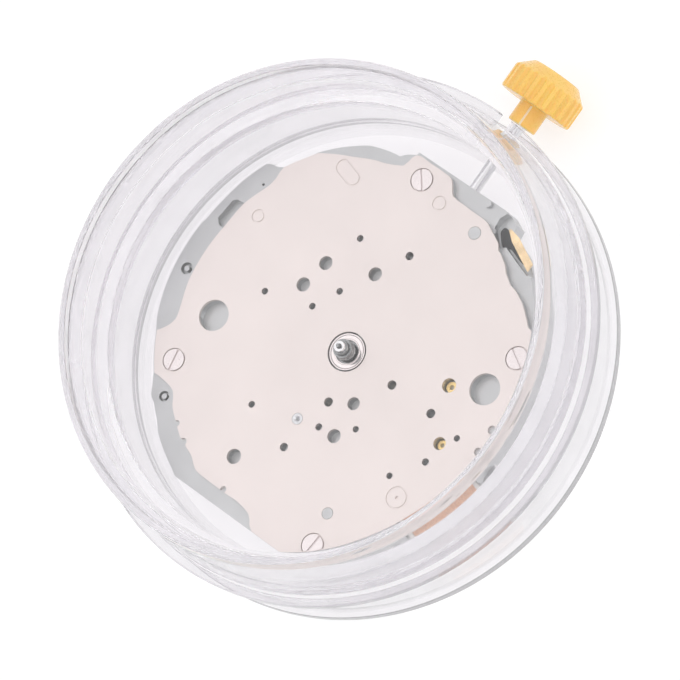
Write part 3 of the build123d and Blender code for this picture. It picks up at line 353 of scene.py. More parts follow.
SATIN_NICKEL = Finish("satin_nickel", (0.80, 0.732, 0.70), roughness=0.42, grain_size=0.09,
                      shade_share=0.018, rough_share=0.12, relief=0.0001, patch_size=5.0)
LAPPED_NICKEL = Finish("lapped_nickel", (0.85, 0.79, 0.775), roughness=0.1, grain=Grain.TURNED,
                       grain_size=0.05, shade_share=0.02, relief=0.0001)
GREY_NICKEL = Finish("grey_nickel", (0.555, 0.565, 0.565), roughness=0.38, grain_size=0.10,
                     shade_share=0.05, relief=0.0006)
BRIDGE_NICKEL = Finish("bridge_nickel", (0.62, 0.63, 0.63), roughness=0.3, grain=Grain.BRUSHED,
                       grain_size=0.05, shade_share=0.04)
POLISHED_STEEL = Finish("polished_steel", (0.80, 0.80, 0.81), roughness=0.1, grain_size=0.05,
                        shade_share=0.03, relief=0.0002)
TURNED_STEEL = Finish("turned_steel", (0.62, 0.63, 0.64), roughness=0.2, grain=Grain.TURNED,
                      grain_size=0.03, shade_share=0.04, relief=0.0004)
POST_STEEL = Finish("post_steel", (0.30, 0.31, 0.31), roughness=0.26, grain=Grain.TURNED,
                    grain_size=0.03, shade_share=0.06, relief=0.0003)
SCREW_STEEL = Finish("screw_steel", (0.80, 0.74, 0.73), roughness=0.3, grain_size=0.06,
                     shade_share=0.03, relief=0.0004)
SPRING_STEEL = Finish("spring_steel", (0.58, 0.59, 0.60), roughness=0.27, grain=Grain.BRUSHED,
                      grain_size=0.04, shade_share=0.05)
TRAIN_BRASS = Finish("train_brass", (0.83, 0.62, 0.26), roughness=0.24, grain=Grain.BRUSHED,
                     grain_size=0.03, shade_share=0.05)
CONTACT_GOLD = Finish("contact_gold", (0.84, 0.63, 0.38), roughness=0.28, grain_size=0.08,
                      shade_share=0.22, patch_size=1.1)
WINDING_COPPER = Finish("winding_copper", (0.80, 0.38, 0.17), roughness=0.28, grain_size=0.3,
                        shade_share=0.12)
MOTOR_IRON = Finish("annealed_iron", (0.36, 0.37, 0.38), roughness=0.45, grain_size=0.07,
                    shade_share=0.08)
DARK_MAGNET = Finish("dark_magnet", (0.10, 0.10, 0.11), roughness=0.5, grain_size=0.04,
                     shade_share=0.15)
BLACK_PLASTIC = Finish("moulded_black", (0.02, 0.02, 0.022), metallic=0.0, roughness=0.42,
                       grain_size=0.06, shade_share=0.2, relief=0.001)
WHITE_PLASTIC = Finish("moulded_white", (0.78, 0.76, 0.70), metallic=0.0, roughness=0.4,
                       grain_size=0.08, relief=0.001)
BATTERY_STEEL = Finish("battery_steel", (0.70, 0.71, 0.72), roughness=0.22, grain=Grain.BRUSHED,
                       grain_size=0.03, shade_share=0.03)
RUBY = Gemstone("ruby", (0.55, 0.02, 0.07), metallic=0.0, roughness=0.06, shade_share=0.1,
                relief=0.0)
GREEN_BOARD = PrintedBoard("green_board", (0.02, 0.16, 0.07), metallic=0.0, roughness=0.3,
                           grain_size=0.05, relief=0.001)
CLEAR_STYRENE = ClearMoulding("clear_styrene", (0.985, 0.975, 0.985), metallic=0.0, roughness=0.01,
                              grain_size=1.4, shade_share=0.006, rough_share=0.9, relief=0.0004,
                              patch_size=9.0)
HAZY_STYRENE = ClearMoulding("hazy_styrene", (0.875, 0.862, 0.88), metallic=0.0, roughness=0.06,
                             grain_size=0.5, shade_share=0.03, rough_share=0.5, relief=0.0005,
                             patch_size=2.5, haze=0.12)
# Dark grey moulding for the foot's outer edge: painted shade, for the dark line that shadow and inner
# reflection make under the foot.
FOOT_SHADE_STYRENE = ClearMoulding("foot_painted_shade", (0.36, 0.36, 0.365), metallic=0.0, roughness=0.12,
                             grain_size=0.3, shade_share=0.06, rough_share=0.4, relief=0.0008,
                             patch_size=1.6, haze=0.35)
ORANGE_PLASTIC = GlowingMoulding("moulded_orange", (1.0, 0.59, 0.145), metallic=0.0, roughness=0.3,
                                 grain_size=0.15, shade_share=0.05, relief=0.0015)
# Paler orange for the hub's slit: painted light, for the bright line seen along the slit.
SLIT_LIGHT_ORANGE = GlowingMoulding("slit_painted_light", (1.0, 0.84, 0.66), metallic=0.0, roughness=0.35,
                                    grain_size=0.05, shade_share=0.05, relief=0.001)

NODE_FINISHES: dict[Finish, tuple[str, ...]] = {
    SATIN_NICKEL: ("dial_side_plate",),
    GREY_NICKEL: ("main_plate", "locating_pins"),
    BRIDGE_NICKEL: ("train_bridge",),
    POLISHED_STEEL: ("setting_stem", "sliding_clutch", "quartz_crystal", "wheel_studs", "lever_studs"),
    TURNED_STEEL: ("rotor_pinion", "plate_jewel"),
    POST_STEEL: ("cannon_pinion", "hour_wheel", "second_wheel"),
    SCREW_STEEL: ("plate_screws", "bridge_screws", "clamp_screws", "cover_screws"),
    SPRING_STEEL: ("battery_clamp", "circuit_cover", "setting_lever", "yoke", "setting_wheel"),
    TRAIN_BRASS: ("train_bushes", "centre_tube", "centre_wheel", "third_wheel", "drive_wheel",
                  "minute_wheel"),
    CONTACT_GOLD: ("battery_contact", "rim_spring"),
    WINDING_COPPER: ("coil_winding",),
    MOTOR_IRON: ("stator", "coil_core"),
    DARK_MAGNET: ("rotor_magnet",),
    BLACK_PLASTIC: ("battery_seal", "circuit_chip"),
    WHITE_PLASTIC: ("coil_bobbin",),
    BATTERY_STEEL: ("battery_can", "battery_cap"),
    RUBY: ("bridge_jewels",),
    GREEN_BOARD: ("circuit_board",),
    CLEAR_STYRENE: ("case_base", "case_lid"),
    ORANGE_PLASTIC: ("setting_knob",),
}


def dress_nodes() -> None:
    """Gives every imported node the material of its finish."""
    for finish, names in NODE_FINISHES.items():
        material = finish.material()
        for name in names:
            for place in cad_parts[name].material_slots:
                place.material = material
    log.info("dressed %d nodes", len(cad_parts))


def grid_faces(rows: int, columns: int) -> np.ndarray:
    """Quads of a grid of points, numbered row by row, whose last column joins the first.

    Args:
        rows: points along the first parameter.
        columns: points along the second parameter.

    Returns:
        One row of four point numbers per face.
    """
    here = np.arange(rows - 1)[:, None] * columns
    across = np.arange(columns)[None, :]
    after = (across + 1) % columns
    next_row = here + columns
    corners = np.broadcast_arrays(here + across, here + after, next_row + after, next_row + across)
    return np.stack(corners, -1).reshape(-1, 4)


def around(columns: int) -> np.ndarray:
    """Angles of the columns of a turned piece, evenly round a full turn, as one row."""
    return np.linspace(0, 2 * np.pi, columns, endpoint=False)[None, :]


def closed_piece(name: str, points: np.ndarray, sharp_degrees: float) -> bpy.types.Object:
    """Object from a grid of points whose columns go round and whose end rows are poles.

    Args:
        name: the piece's name.
        points: grid in millimetres, rows by columns by 3.
        sharp_degrees: edges that turn more than this stay crisp.

    Returns:
        The piece, at the origin, with its faces outward and its poles closed.
    """
    mesh = bpy.data.meshes.new(name)
    faces = grid_faces(points.shape[0], points.shape[1])
    mesh.from_pydata((points.reshape(-1, 3) * MM).tolist(), [], faces.tolist())
    work = bmesh.new()
    work.from_mesh(mesh)
    bmesh.ops.remove_doubles(work, verts=work.verts, dist=MERGE_REACH * MM)
    bmesh.ops.dissolve_degenerate(work, edges=work.edges, dist=SLIVER_WIDTH * MM)
    bmesh.ops.recalc_face_normals(work, faces=work.faces)
    work.to_mesh(mesh)
    work.free()
    mesh.shade_smooth()
    mesh.set_sharp_from_angle(angle=math.radians(sharp_degrees))
    piece = bpy.data.objects.new(name, mesh)
    bpy.context.scene.collection.objects.link(piece)
    return piece


def turned_piece(name: str, profile: np.ndarray, centre: tuple[float, float], columns: int,
                 sharp_degrees: float) -> bpy.types.Object:
    """Turns a profile about an upright axis: x = cx + r cos a, y = cy + r sin a, z = the profile's height.

    Args:
        name: the piece's name.
        profile: points of radius r and height, in millimetres.
        centre: the axis's place, cx and cy.
        columns: steps of the angle a in a full turn.
        sharp_degrees: edges that turn more than this stay crisp.

    Returns:
        The turned piece.
    """
    angle = around(columns)
    radius, height = profile[:, :1], profile[:, 1:]
    points = np.stack(np.broadcast_arrays(centre[0] + radius * np.cos(angle),
                                          centre[1] + radius * np.sin(angle), height), -1)
    return closed_piece(name, points, sharp_degrees)


def face_middles(piece: bpy.types.Object) -> np.ndarray:
    """Middles of a piece's faces.

    Args:
        piece: the piece.

    Returns:
        One row of x, y and z per face, in millimetres.
    """
    middles = np.empty(3 * len(piece.data.polygons))
    piece.data.polygons.foreach_get("center", middles)
    return middles.reshape(-1, 3) / MM


def share_out(piece: bpy.types.Object, finishes: tuple[Finish, ...], which: np.ndarray) -> None:
    """Adds finishes to a piece, and gives each of its faces one of all that the piece then has.

    Args:
        piece: the piece to dress.
        finishes: the finishes to add, in order.
        which: the number of each face's finish, or whether it takes the second.
    """
    for finish in finishes:
        piece.data.materials.append(finish.material())
    piece.data.polygons.foreach_set("material_index", which.astype(np.int32))


def put_on_body(piece: bpy.types.Object, body: str, node: str | None = None) -> None:
    """Lets a finished piece move with its body, in place of a node where it stands for one.

    Args:
        piece: the finished piece.
        body: the body that carries it.
        node: the node that the piece replaces, if any.
    """
    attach(piece, body)
    if node is not None:
        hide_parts(node)
    log.info("%s: %d faces", piece.name, len(piece.data.polygons))


@dataclass(frozen=True)
class Chamfer:
    """A node that gets chamfered edges: its name, body, material slot, which is not used, and the chamfer's
    width.
    """

    node: str
    body: str
    slot: str
    width: float


@dataclass
class CrispEdges:
    """Plates and screws whose edges are broken by a narrow chamfer that catches the light. Millimetres."""

    chamfers: tuple[Chamfer, ...] = (
        Chamfer("dial_side_plate", "movement", "satin_plate", 0.035),
        Chamfer("main_plate", "movement", "grey_plate", 0.04),
        Chamfer("plate_screws", "movement", "steel", 0.03),
        Chamfer("hour_wheel", "hour", "brass", 0.02),
        Chamfer("cannon_pinion", "minute", "steel", 0.02),
    )
    flat_angle: float = 0.5
    edge_angle: float = 40.0
    segments: int = 2
    post_node: str = "cannon_pinion"
    post_highlight_level: float = 6.6

    def merged(self, node: str) -> bpy.types.Mesh:
        """Copies a node's mesh, merges its points and joins its coplanar triangles.

        Args:
            node: the node's name.

        Returns:
            The new mesh.
        """
        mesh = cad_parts[node].data.copy()
        work = bmesh.new()
        work.from_mesh(mesh)
        bmesh.ops.remove_doubles(work, verts=work.verts, dist=MERGE_REACH * MM)
        bmesh.ops.dissolve_limit(work, angle_limit=math.radians(self.flat_angle), verts=work.verts,
                                 edges=work.edges)
        work.to_mesh(mesh)
        work.free()
        return mesh

    def chamfered(self, edge: Chamfer) -> bpy.types.Object:
        """Makes a piece whose edges that turn more than edge_angle carry the chamfer.

        Args:
            edge: the node to copy, and its chamfer.

        Returns:
            The piece, not yet on its body.
        """
        piece = bpy.data.objects.new(f"crisp_{edge.node}", self.merged(edge.node))
        bpy.context.scene.collection.objects.link(piece)
        bevel = piece.modifiers.new("chamfer", "BEVEL")
        bevel.width, bevel.segments = edge.width * MM, self.segments
        bevel.limit_method, bevel.angle_limit = "ANGLE", math.radians(self.edge_angle)
        bevel.harden_normals = True
        return piece

    def build(self) -> None:
        """Makes the chamfered pieces, and gives the post's end, above its given level, the lighter polished
        steel: the lighter colour is a painted highlight, the lower roughness real gloss.
        """
        for edge in self.chamfers:
            piece = self.chamfered(edge)
            if edge.node == self.post_node:
                # The post's end takes the lighter polished steel: painted highlight, with real gloss.
                share_out(piece, (POLISHED_STEEL,), face_middles(piece)[:, 2] > self.post_highlight_level)
            put_on_body(piece, edge.body, edge.node)


def corner_curve(start: np.ndarray, corner: np.ndarray, end: np.ndarray, steps: int) -> np.ndarray:
    """Curves (1-s)^2 A + 2 s (1-s) P + s^2 B that round the corners P between A and B.

    Args:
        start: the points A, one row per corner.
        corner: the points P.
        end: the points B.
        steps: points on each curve, with s even from 0 to 1.

    Returns:
        Corners by steps by 2.
    """
    share = np.linspace(0, 1, steps)[None, :, None]
    first = (1 - share) ** 2 * start[:, None]
    middle = 2 * share * (1 - share) * corner[:, None]
    return first + middle + share ** 2 * end[:, None]


def rounded_profile(table: Sizes, steps: int = 5) -> np.ndarray:
    """Profile with its corners rounded.

    Each corner P is replaced by the corner curve between A and B, which lie on its two sides at the
    corner's reach from P, but never past a side's middle. One more point is held close to A and to B
    on each side, so that smooth shading leaves the flat of the side true.

    Args:
        table: each corner's radius, height and reach, in order from pole to pole; reach 0 keeps it sharp.
        steps: points on each rounded corner.

    Returns:
        The profile's points, with both ends kept.
    """
    rows = np.array(table)
    corners, reaches = rows[:, :2], rows[:, 2]
    at = corners[1:-1]
    back, ahead = corners[:-2] - at, corners[2:] - at
    back_length = np.linalg.norm(back, axis=1, keepdims=True)
    ahead_length = np.linalg.norm(ahead, axis=1, keepdims=True)
    reach = np.minimum(reaches[1:-1, None], CORNER_SHARE * np.minimum(back_length, ahead_length))
    start, end = at + back / back_length * reach, at + ahead / ahead_length * reach
    curve = corner_curve(start, at, end, steps)
    first = start + back / back_length * np.minimum(HELD_REACH, HELD_SHARE * back_length)
    last = end + ahead / ahead_length * np.minimum(HELD_REACH, HELD_SHARE * ahead_length)
    held = np.concatenate([first[:, None], curve, last[:, None]], axis=1)
    return np.vstack([corners[:1], held.reshape(-1, 2), corners[-1:]])


@dataclass
class ClearCase:
    """Round transport case: a base with a stem slot, and a lid with a raised stacking rim. Millimetres."""

    centre: tuple[float, float] = (0.5, 1.15)
    wall: float = 1.2
    floor: float = 1.2
    foot_radius: float = 20.71
    foot_height: float = 0.8
    wall_radius: float = 20.29
    flange_radius: float = 21.04
    flange_low: float = 5.52
    flange_top: float = 6.32
    spigot_radius: float = 18.79
    spigot_wall: float = 1.0
    spigot_top: float = 8.52
    lid_low: float = 6.34
    lid_top: float = 14.1
    skirt_radius: float = 20.19
    top_radius: float = 19.62
    rim_width: float = 0.53
    rim_height: float = 0.9
    top_plate: float = 1.3
    slot_half: float = 0.65
    slot_level: float = 3.2
    slot_start: float = 14.0
    slot_end: float = 24.0
    slot_over: float = 1.0
    slot_steps: int = 25
    slot_sharp_angle: float = 30.0
    sharp_angle: float = 50.0
    floor_margin: float = 0.5
    # Width of the band on the foot's outer edge that takes the painted shade.
    foot_shade_band: float = 0.06
    columns: int = 360

    def turned(self, name: str, table: Sizes) -> bpy.types.Object:
        """Turns a rounded profile about the case's axis."""
        return turned_piece(name, rounded_profile(table), self.centre, self.columns, self.sharp_angle)

    def lid(self) -> bpy.types.Object:
        """Makes the lid: recessed top, stacking rim, drafted skirt and hollow inside.

        Returns:
            The lid.
        """
        ceiling = self.lid_top - self.rim_height - self.top_plate
        draft = (self.skirt_radius - self.top_radius) / (self.lid_top - self.lid_low)
        inner_low = self.skirt_radius - self.wall
        inner_high = inner_low - draft * (ceiling - self.lid_low)
        rim_inner = self.top_radius - self.rim_width
        return self.turned("clear_lid", (
            (0, self.lid_top - self.rim_height, 0), (rim_inner, self.lid_top - self.rim_height, 0.18),
            (rim_inner, self.lid_top, 0.1), (self.top_radius, self.lid_top, 0.3),
            (self.skirt_radius, self.lid_low, 0.08), (inner_low, self.lid_low, 0.08),
            (inner_high, ceiling, 0.35), (0, ceiling, 0),
        ))

    def base(self) -> bpy.types.Object:
        """Makes the base: foot, wall, flange and spigot round a flat floor, with a slot for the stem.

        Returns:
            The base.
        """
        inner = self.spigot_radius - self.spigot_wall
        piece = self.turned("clear_base", (
            (0, 0, 0), (self.foot_radius, 0, 0.15), (self.foot_radius, self.foot_height, 0.12),
            (self.wall_radius, self.foot_height, 0.08), (self.wall_radius, self.flange_low, 0.1),
            (self.flange_radius, self.flange_low, 0.15), (self.flange_radius, self.flange_top, 0.12),
            (self.spigot_radius, self.flange_top, 0.06), (self.spigot_radius, self.spigot_top, 0.1),
            (inner, self.spigot_top, 0.1), (inner, self.floor, 0.4), (0, self.floor, 0),
        ))
        self.cut_slot(piece)
        return piece

    def cut_slot(self, piece: bpy.types.Object) -> None:
        """Cuts the stem's slot through the wall: round below, open above.

        Args:
            piece: the base, which is changed.
        """
        turn = np.linspace(np.pi, 2 * np.pi, self.slot_steps)
        top = self.spigot_top + self.slot_over
        round_end = self.slot_half * np.stack([np.cos(turn), np.sin(turn)], -1) + (0, self.slot_level)
        outline = np.vstack([(self.slot_half, top), (-self.slot_half, top), round_end])
        reach = self.centre[0] + np.array([self.slot_start, self.slot_end])[:, None]
        points = np.stack(np.broadcast_arrays(reach, outline[:, 0], outline[:, 1]), -1)
        ends = points.mean(axis=1, keepdims=True) * np.ones((1, points.shape[1], 1))
        grid = np.concatenate([ends[:1], points, ends[1:]])
        cutter = closed_piece("slot_cutter", grid, self.slot_sharp_angle)
        cut = piece.modifiers.new("slot", "BOOLEAN")
        cut.object, cut.operation, cut.solver = cutter, "DIFFERENCE", "EXACT"
        finished = bpy.data.meshes.new_from_object(
            piece.evaluated_get(bpy.context.evaluated_depsgraph_get()))
        piece.modifiers.clear()
        piece.data = finished
        finished.set_sharp_from_angle(angle=math.radians(self.sharp_angle))
        bpy.data.objects.remove(cutter)

    def distance_out(self, piece: bpy.types.Object) -> np.ndarray:
        """Distance of each face's middle from the case's axis."""
        return np.linalg.norm(face_middles(piece)[:, :2] - np.array(self.centre), axis=1)

    def build(self) -> None:
        """Makes both mouldings: hazy walls, a clear top and floor, and a dark grey band on the foot's outer
        edge, which is painted shade for the dark line there.
        """
        lid, base = self.lid(), self.base()
        out = self.distance_out(lid)
        share_out(lid, (HAZY_STYRENE, CLEAR_STYRENE), out < self.top_radius - 2 * self.rim_width)
        out = self.distance_out(base)
        which = (out < self.spigot_radius - self.spigot_wall - self.floor_margin).astype(np.int32)
        # Faces on the foot's outer edge take the dark grey moulding: painted shade.
        which[(out > self.foot_radius - self.foot_shade_band) & (face_middles(base)[:, 2] < self.foot_height)] = 2
        base.data.materials.clear()
        share_out(base, (HAZY_STYRENE, CLEAR_STYRENE, FOOT_SHADE_STYRENE), which)
        put_on_body(lid, "case_lid", "case_lid")
        put_on_body(base, "case_base", "case_base")


@dataclass
class PostWasher:
    """Lapped washer that lies round the hour pipe in the dial-side plate's centre opening. Millimetres."""

    profile: Sizes = (
        (0.93, 4.9, 0.0), (0.93, 4.76, 0.02), (1.46, 4.76, 0.02), (1.46, 5.12, 0.03), (1.36, 5.12, 0.03),
        (1.30, 5.07, 0.02), (1.04, 5.07, 0.02), (1.02, 5.14, 0.02), (0.93, 5.14, 0.02), (0.93, 4.9, 0.0),
    )
    corner_steps: int = 4
    sharp_angle: float = 50.0
    columns: int = 120

    def build(self) -> None:
        """Turns the rounded profile about the hands' axis."""
        rounded = rounded_profile(self.profile, self.corner_steps)
        piece = turned_piece("post_washer", rounded, (0.0, 0.0), self.columns, self.sharp_angle)
        piece.data.materials.append(LAPPED_NICKEL.material())
        put_on_body(piece, "movement")


@dataclass
class SpringRoomShade:
    """Black block in the room of the rim's contact spring, a dark piece put where the room shows only
    shade: painted shade. Millimetres.
    """

    outline: Sizes = (
        (13.42, -4.86), (14.10, -4.20), (14.62, -4.30), (14.45, -5.50), (13.75, -6.75), (13.20, -7.70),
        (12.95, -7.75), (13.10, -6.90), (13.50, -5.72), (13.12, -5.22),
    )
    low: float = 0.02
    high: float = 0.22
    inset: float = 0.06
    corner_reach: float = 0.16
    corner_steps: int = 3
    sharp_angle: float = 35.0

    def build(self) -> None:
        """Makes the block of painted shade.

        Each corner of the outline is replaced by the corner curve between points that lie corner_reach
        from it on its two sides. The outline is drawn in by inset at the top, and both faces are closed
        by a point at their middle.
        """
        corners = np.array(self.outline)
        back, ahead = np.roll(corners, 1, axis=0) - corners, np.roll(corners, -1, axis=0) - corners
        start = corners + back / np.linalg.norm(back, axis=1, keepdims=True) * self.corner_reach
        end = corners + ahead / np.linalg.norm(ahead, axis=1, keepdims=True) * self.corner_reach
        ring = corner_curve(start, corners, end, self.corner_steps).reshape(-1, 2)
        middle = ring.mean(axis=0)
        pole = np.broadcast_to(middle, ring.shape)
        inward = (middle - ring) / np.linalg.norm(middle - ring, axis=1, keepdims=True)
        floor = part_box("rim_spring")[0].z / MM
        rows = [(pole, self.low), (ring, self.low), (ring, self.high - self.inset),
                (ring + self.inset * inward, self.high), (pole, self.high)]
        points = np.stack([np.column_stack([row, np.full(len(row), floor + level)]) for row, level in rows])
        piece = closed_piece("spring_room_shade", points, self.sharp_angle)
        # Black plastic on the block: painted shade in the spring's room.
        piece.data.materials.append(BLACK_PLASTIC.material())
        put_on_body(piece, "movement")


@dataclass
class StepMotorWinding:
    """Winding of the motor's coil: turns of enamelled copper wire, seen as fine ridges. Millimetres."""

    angle: float = -21.0
    half_length: float = 2.88
    inner_radius: float = 0.67
    edge_radius: float = 0.837
    crown: float = 0.06
    turn_pitch: float = 0.08
    ridge: float = 0.018
    sharp_angle: float = 60.0
    columns: int = 96
    rows_per_turn: int = 8

    def build(self) -> None:
        """Makes the winding.

        At length s and angle a the radius is that of the crowned body, edge_radius plus crown times
        1 less the square of s over half_length, less ridge times 1 less the absolute cosine of half the
        wire's phase, where the phase is 2 pi s over turn_pitch less a. So each turn is a ridge that
        advances by one pitch in a round.
        """
        rows = int(2 * self.half_length / self.turn_pitch * self.rows_per_turn)
        along = np.linspace(-self.half_length, self.half_length, rows)[:, None]
        angle = around(self.columns)
        phase = 2 * np.pi * along / self.turn_pitch - angle
        body = self.edge_radius + self.crown * (1 - (along / self.half_length) ** 2)
        radius = body - self.ridge * (1 - np.abs(np.cos(phase / 2)))
        sleeve = np.full((1, self.columns), self.inner_radius)
        radius = np.concatenate([sleeve, radius, sleeve, sleeve])
        length = np.concatenate([along[:1], along, along[-1:], along[:1]]) * np.ones((1, self.columns))
        low, high = (np.array(corner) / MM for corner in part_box("coil_winding"))
        middle = (low + high) / 2
        turn = math.radians(self.angle)
        aside = radius * np.cos(angle)
        points = np.stack([middle[0] + length * math.cos(turn) - aside * math.sin(turn),
                           middle[1] + length * math.sin(turn) + aside * math.cos(turn),
                           middle[2] + radius * np.sin(angle)], -1)
        piece = closed_piece("copper_winding", points, self.sharp_angle)
        piece.data.materials.append(WINDING_COPPER.material())
        put_on_body(piece, "movement", "coil_winding")


@dataclass
class SettingKnob:
    """Orange knob on the stem: a slit hub, and a ribbed grip with a coned end. Millimetres."""

    level: float = 3.2
    hub_start: float = 21.68
    hub_end: float = 23.45
    hub_radius: float = 1.19
    slit_width: float = 0.14
    slit_angle: float = 106.0
    slit_depth: float = 0.07
    slit_columns: tuple[float, ...] = (-1.02, -0.98, 0.98, 1.02)
    slit_stop: float = 0.1
    # Share of the slit's width, and margin from the bore, of the faces with the painted light.
    slit_light_share: float = 0.6
    slit_light_margin: float = 0.1
    grip_radius: float = 3.08
    grip_length: float = 3.05
    cone_length: float = 1.0
    face_radius: float = 2.0
    bore_radius: float = 0.47
    bore_depth: float = 1.05
    bore_margin: float = 0.01
    hub_margin: float = 0.02
    ribs: int = 24
    groove_radius: float = 0.24
    groove_depth: float = 0.17
    sharp_angle: float = 40.0
    profile_points: int = 90
    columns: int = 480

    def profile(self) -> np.ndarray:
        """Profile of the knob, with more points added so that they lie close all along it.

        Returns:
            Radius and length of the points, from the bore's floor to the coned end's middle.
        """
        floor, end = self.hub_end + self.bore_depth, self.hub_end + self.grip_length
        rough = rounded_profile((
            (0, floor, 0), (self.bore_radius, floor, 0),
            (self.bore_radius, self.hub_start, 0.05), (self.hub_radius, self.hub_start, 0.12),
            (self.hub_radius, self.hub_end, 0.18), (self.grip_radius, self.hub_end, 0.22),
            (self.grip_radius, end - self.cone_length, 0.12), (self.face_radius, end, 0.15), (0, end, 0),
        ))
        lengths = np.concatenate([[0], np.cumsum(np.linalg.norm(np.diff(rough, axis=0), axis=1))])
        fine = np.union1d(lengths, np.linspace(0, lengths[-1], self.profile_points))
        return np.stack([np.interp(fine, lengths, rough[:, k]) for k in (0, 1)], -1)

    def radii(self, profile: np.ndarray, angle: np.ndarray, slit: float, half: float) -> np.ndarray:
        """Radius of the knob at each point of the profile and each angle.

        A point has its profile's radius, or less in a groove: there it lies on a circle of groove_radius
        whose centre is outside the grip by groove_radius less groove_depth. The hub is lower by
        slit_depth in the slit.

        Args:
            profile: radius and length of the profile's points.
            angle: the columns' angles.
            slit: angle of the slit's middle.
            half: half the slit's width, as an angle.

        Returns:
            One row per point of the profile, one column per angle.
        """
        pitch = 2 * np.pi / self.ribs
        aside = self.grip_radius * ((angle + pitch / 2) % pitch - pitch / 2)
        dip = np.sqrt(np.maximum(self.groove_radius ** 2 - aside ** 2, 0))
        valley = self.grip_radius + self.groove_radius - self.groove_depth - dip
        outside = np.arange(len(profile)) > np.argmax(profile[:, 0] > self.bore_radius + self.bore_margin)
        radius = profile[:, :1] * np.ones((1, len(angle)))
        radius = np.where(outside[:, None], np.minimum(radius, valley[None, :]), radius)
        on_hub = profile[:, 1] < self.hub_end - self.slit_stop
        on_hub &= profile[:, 0] > self.bore_radius + self.hub_margin
        in_slit = on_hub[:, None] & (np.abs(angle - slit) < half)[None, :]
        return np.where(in_slit, np.minimum(radius, self.hub_radius - self.slit_depth), radius)

    def slit_light_faces(self, piece: bpy.types.Object) -> np.ndarray:
        """Finds the faces in the hub's slit, which take the paler orange: painted light for the bright line
        along the slit.

        Args:
            piece: the knob.

        Returns:
            True or false for each face.
        """
        length, across, height = face_middles(piece).T
        turn = np.arctan2(height - self.level, across) - math.radians(self.slit_angle)
        out = np.hypot(across, height - self.level)
        in_slit = np.abs(turn) * self.hub_radius < self.slit_width * self.slit_light_share
        in_slit &= out > self.bore_radius + self.slit_light_margin
        return in_slit & (length < self.hub_end - self.slit_stop)

    def build(self) -> None:
        """Makes the knob: x is the profile's length, y = r cos a, z = level + r sin a."""
        slit = math.radians(self.slit_angle)
        half = self.slit_width / 2 / self.hub_radius
        sides = slit + half * np.array(self.slit_columns)
        angle = np.sort(np.concatenate([around(self.columns)[0], sides]))
        profile = self.profile()
        radius = self.radii(profile, angle, slit, half)
        points = np.stack(np.broadcast_arrays(profile[:, 1:], radius * np.cos(angle),
                                              self.level + radius * np.sin(angle)), -1)
        piece = closed_piece("ribbed_knob", points, self.sharp_angle)
        # The slit's faces take the paler orange: painted light.
        share_out(piece, (ORANGE_PLASTIC, SLIT_LIGHT_ORANGE), self.slit_light_faces(piece))
        put_on_body(piece, "stem", "setting_knob")


@dataclass(frozen=True)
class Softbox:
    """Square soft lamp: its name, place and size in metres, and power in watts."""

    name: str
    place: tuple[float, float, float]
    size: float
    power: float


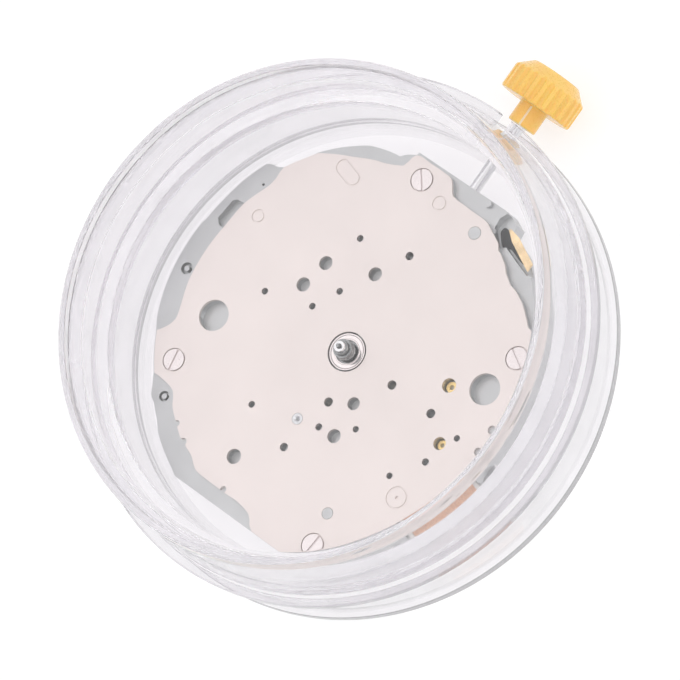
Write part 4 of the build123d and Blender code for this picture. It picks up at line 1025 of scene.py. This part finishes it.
@dataclass
class Studio:
    """White table, a bright tent with a grey horizon, soft lamps, and the camera of the photograph.

    The camera's sizes are in millimetres, but for what it clips. That and all other sizes are in metres.
    """

    target: tuple[float, float, float] = (0.423, 3.853, 0.0)
    tilt: float = 27.05
    roll: float = 55.0
    distance: float = 419.0
    lens: float = 287.6
    sensor: float = 36.0
    clip_start: float = 0.01
    clip_end: float = 20.0
    horizon: float = 0.72
    horizon_blue: float = 1.02
    horizon_start: float = 0.05
    horizon_end: float = 0.55
    sky: float = 0.96
    table_half: float = 1.5
    table_drop: float = 2e-5
    table_shade: float = 0.35
    table_glow: float = 0.69
    table_roughness: float = 0.6
    table_gloss: float = 0.2
    softboxes: tuple[Softbox, ...] = (
        Softbox("top_softbox", (-0.15, 0.25, 0.7), 0.5, 0.25),
        Softbox("front_softbox", (0.3, -0.5, 0.45), 0.3, 0.4),
    )
    bounces: int = 20
    pane_bounces: int = 24

    def camera(self) -> None:
        """Camera tilted back from the plumb line, and rolled so that the stem points up to the right."""
        tilt, roll = math.radians(self.tilt), math.radians(self.roll)
        right = Vector((1, 0, 0))
        up = Vector((0, math.cos(tilt), math.sin(tilt)))
        back = Vector((0, -math.sin(tilt), math.cos(tilt)))
        across = right * math.cos(roll) - up * math.sin(roll)
        upward = right * math.sin(roll) + up * math.cos(roll)
        data = bpy.data.cameras.new("photo_camera")
        data.lens, data.sensor_width = self.lens, self.sensor
        data.clip_start, data.clip_end = self.clip_start, self.clip_end
        camera = bpy.data.objects.new("photo_camera", data)
        place = Matrix((across, upward, back)).transposed().to_4x4()
        place.translation = (Vector(self.target) + back * self.distance) * MM
        camera.matrix_world = place
        bpy.context.scene.collection.objects.link(camera)
        bpy.context.scene.camera = camera

    def table(self) -> None:
        """White table top, lit from below as a light table is."""
        half, level = self.table_half, -self.table_drop
        corners = [(-half, -half, level), (half, -half, level), (half, half, level), (-half, half, level)]
        mesh = bpy.data.meshes.new("light_table")
        mesh.from_pydata(corners, [], [(0, 1, 2, 3)])
        table = bpy.data.objects.new("light_table", mesh)
        bpy.context.scene.collection.objects.link(table)
        made = bpy.data.materials.new("white_table")
        made.use_nodes = True
        shader = made.node_tree.nodes["Principled BSDF"]
        socket(shader, "Base Color", (self.table_shade, self.table_shade, self.table_shade, 1))
        socket(shader, "Roughness", self.table_roughness)
        socket(shader, "Specular IOR Level", self.table_gloss)
        socket(shader, "Emission Color", (1, 1, 1, 1))
        socket(shader, "Emission Strength", self.table_glow)
        mesh.materials.append(made)

    def tent(self) -> None:
        """Light tent: white overhead, greyer towards the horizon."""
        world = bpy.data.worlds.new("light_tent")
        bpy.context.scene.world = world
        world.use_nodes = True
        tree = world.node_tree
        where = tree.nodes.new("ShaderNodeTexCoord")
        parts = tree.nodes.new("ShaderNodeSeparateXYZ")
        ramp = tree.nodes.new("ShaderNodeValToRGB")
        grey = self.horizon
        low, high = ramp.color_ramp.elements
        low.position, low.color = self.horizon_start, (grey, grey, grey * self.horizon_blue, 1)
        high.position, high.color = self.horizon_end, (1, 1, 1, 1)
        tree.links.new(where.outputs["Generated"], parts.inputs[0])
        tree.links.new(parts.outputs["Z"], ramp.inputs[0])
        ground = tree.nodes["Background"]
        tree.links.new(ramp.outputs[0], ground.inputs["Color"])
        socket(ground, "Strength", self.sky)

    def lamp(self, box: Softbox) -> None:
        """Hangs a soft lamp, aimed at the object.

        Args:
            box: the lamp's name, place, size and power.
        """
        data = bpy.data.lights.new(box.name, "AREA")
        data.shape, data.size, data.energy = "SQUARE", box.size, box.power
        lamp = bpy.data.objects.new(box.name, data)
        lamp.location = box.place
        lamp.rotation_euler = (-Vector(box.place)).to_track_quat("-Z", "Y").to_euler()
        bpy.context.scene.collection.objects.link(lamp)

    def build(self) -> None:
        """Sets up the camera, the table, the tent and the lamps."""
        scene = bpy.context.scene
        scene.view_settings.view_transform = "Standard"
        scene.cycles.max_bounces = self.bounces
        scene.cycles.transmission_bounces = self.bounces
        scene.cycles.transparent_max_bounces = self.pane_bounces
        self.camera()
        self.table()
        self.tent()
        for box in self.softboxes:
            self.lamp(box)


def main() -> None:
    logging.basicConfig(level=logging.INFO)
    Studio().build()
    dress_nodes()
    CrispEdges().build()
    PostWasher().build()
    SpringRoomShade().build()
    StepMotorWinding().build()
    ClearCase().build()
    SettingKnob().build()
    bpy.context.view_layer.update()


if __name__ == "__main__":
    main()
